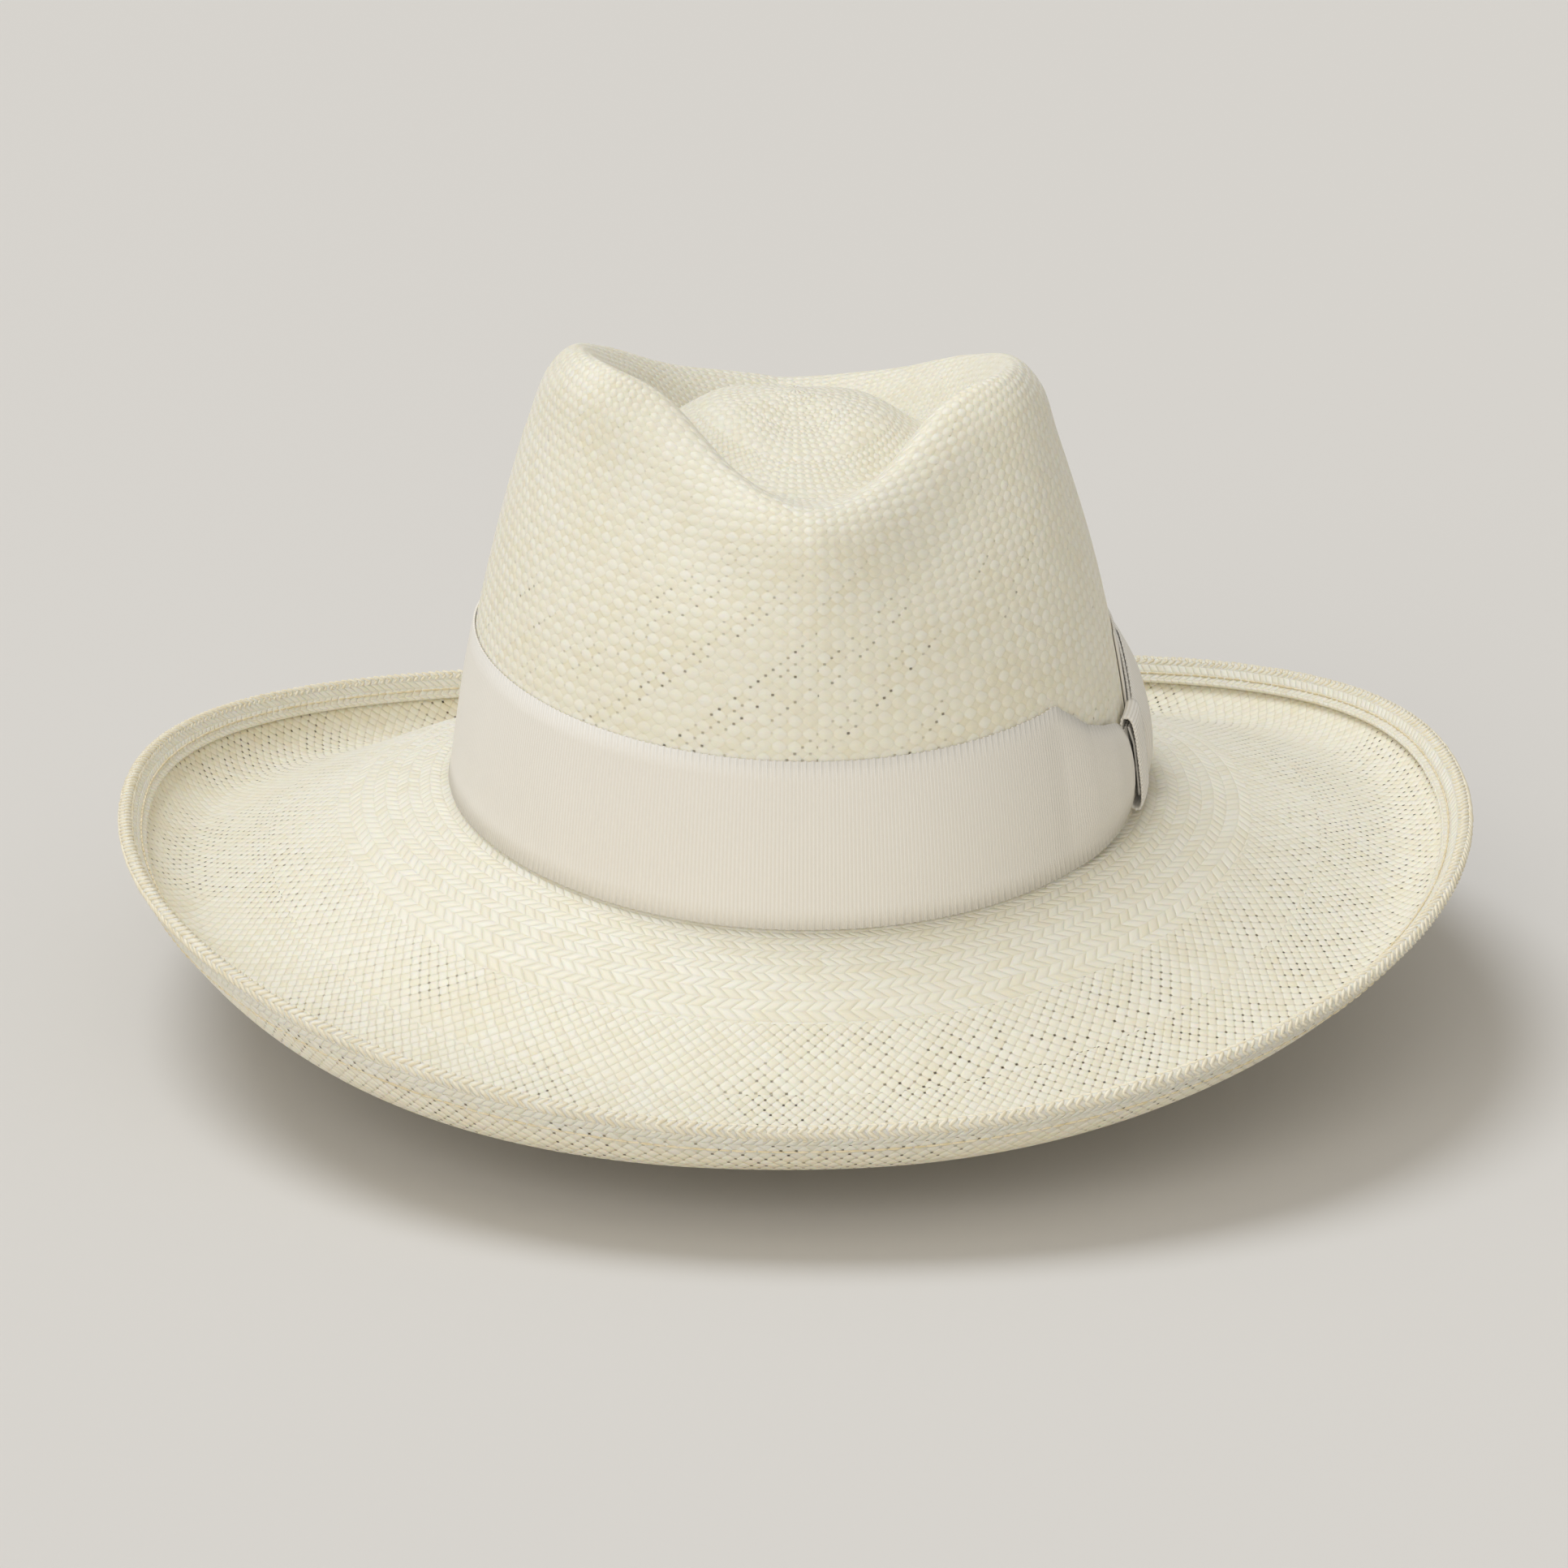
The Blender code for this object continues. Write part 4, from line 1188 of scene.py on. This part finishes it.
@dataclass(frozen=True)
class Sun:
    """A soft, even light, by its direction from the hat and its width in the sky in degrees."""

    name: str
    towards: tuple[float, float, float]
    spread: float
    power: float
    colour: str

    def add(self) -> None:
        """Add the light to the scene."""
        data = bpy.data.lights.new(self.name, "SUN")
        data.energy, data.angle, data.color = self.power, math.radians(self.spread), linear(self.colour)[:3]
        light = bpy.data.objects.new(self.name, data)
        light.rotation_euler = Vector(self.towards).to_track_quat("Z", "Y").to_euler()
        bpy.context.scene.collection.objects.link(light)


@dataclass
class Studio:
    """A pale floor, soft light and the camera."""

    suns: tuple[Sun, ...] = (
        Sun("key", (-0.36, 0.36, 1.0), 30.0, 1.38, "#F5F9FF"),
        Sun("front_fill", (-0.45, -1.0, 0.5), 50.0, 1.05, "#FFFAF2"),
    )
    room: str = "#F4EFE5"
    room_strength: float = 0.52
    floor_half_width: float = 7.0
    floor: str = "#DAD8D5"
    lift: float = 0.016  # metres the hat is held above the floor
    lens: float = 126.24  # millimetres, on a sensor 36 mm wide
    distance: float = 1.400
    elevation: float = 17.93
    turned: float = -3.59  # degrees round the hat, from straight in front
    roll: float = 0.28
    target: tuple[float, float, float] = (-0.00212, 0.0, 0.03568)

    def build_floor(self) -> bpy.types.Object:
        """A wide matt floor."""
        mesh = bpy.data.meshes.new("floor")
        half = self.floor_half_width
        corners = ((-half, -half), (half, -half), (half, half), (-half, half))
        mesh.from_pydata([(x, y, -self.lift) for x, y in corners], [], [(0, 1, 2, 3)])
        made = bpy.data.materials.new("matt_floor")
        made.use_nodes = True
        shader = made.node_tree.nodes["Principled BSDF"]
        shader.inputs["Base Color"].default_value = linear(self.floor)
        shader.inputs["Roughness"].default_value = 0.85
        shader.inputs["Specular IOR Level"].default_value = 0.2
        floor = add_object("floor", mesh, made)
        return floor

    def build_camera(self) -> None:
        """The camera at its place round the hat."""
        data = bpy.data.cameras.new("camera")
        data.lens, data.sensor_width = self.lens, 36.0
        data.clip_start, data.clip_end = 0.05, 40.0
        camera = bpy.data.objects.new("camera", data)
        bpy.context.scene.collection.objects.link(camera)
        e = math.radians(self.elevation)
        round_hat = Matrix.Rotation(math.radians(self.turned), 4, "Z")
        tx, _, tz = self.target
        place = round_hat @ Vector((tx, -self.distance * math.cos(e), tz + self.distance * math.sin(e)))
        rolled = Matrix.Rotation(math.radians(self.roll), 4, "Z")
        tipped = Matrix.Rotation(math.pi / 2 - e, 4, "X") @ rolled
        camera.matrix_world = Matrix.Translation(place) @ round_hat @ tipped
        bpy.context.scene.camera = camera

    def build_lights(self) -> None:
        """The soft lights and the pale room."""
        for sun in self.suns:
            sun.add()
        world = bpy.data.worlds.new("room")
        world.use_nodes = True
        back = world.node_tree.nodes["Background"]
        back.inputs[0].default_value = linear(self.room)
        back.inputs[1].default_value = self.room_strength
        bpy.context.scene.world = world
        bpy.context.scene.view_settings.view_transform = "Standard"


def main() -> None:
    """Build the hat round its frame, and the studio."""
    logging.basicConfig(level=logging.INFO, format=FORMAT)
    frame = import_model()
    studio = Studio()
    studio.build_camera()
    studio.build_floor()
    studio.build_lights()

    form = HatForm()
    thread = Spun("#EDE3C9", "#DDCFA9", "waxed_cotton_thread").make()
    edge = Spun("#F1ECDA", "#E6DCC0", "worked_straw_ends", 0.5).make()
    straw = StrawBody(form, WovenStraw().make(), edge)
    for made in (straw.build(), straw.build_edge(), *HemStitching(form, thread).build()):
        log.info("%s: %d faces", made.name, len(made.data.polygons))

    ribbon = RibbonWork(form, Grosgrain().make())
    for made in (ribbon.build_band(), ribbon.build_tail(), ribbon.build_wing(), ribbon.build_knot()):
        log.info("%s: %d faces", made.name, len(made.data.polygons))

    cloth = Spun("#D9D0B8", "#B9AE90", "cotton_cloth").make()
    label = Spun("#E8E6E0", "#D8D5CC", "satin_label", 0.45).make()
    lining = Lining(form, ribbon, Leather().make(), cloth, thread, label, frame["nodes"])
    lining.dress_nodes()
    built = [lining.build_leather(), lining.build_tape(), lining.build_stitches()]
    for made in built + lining.build_seam_bow():
        log.info("%s: %d faces", made.name, len(made.data.polygons))


if __name__ == "__main__":
    main()
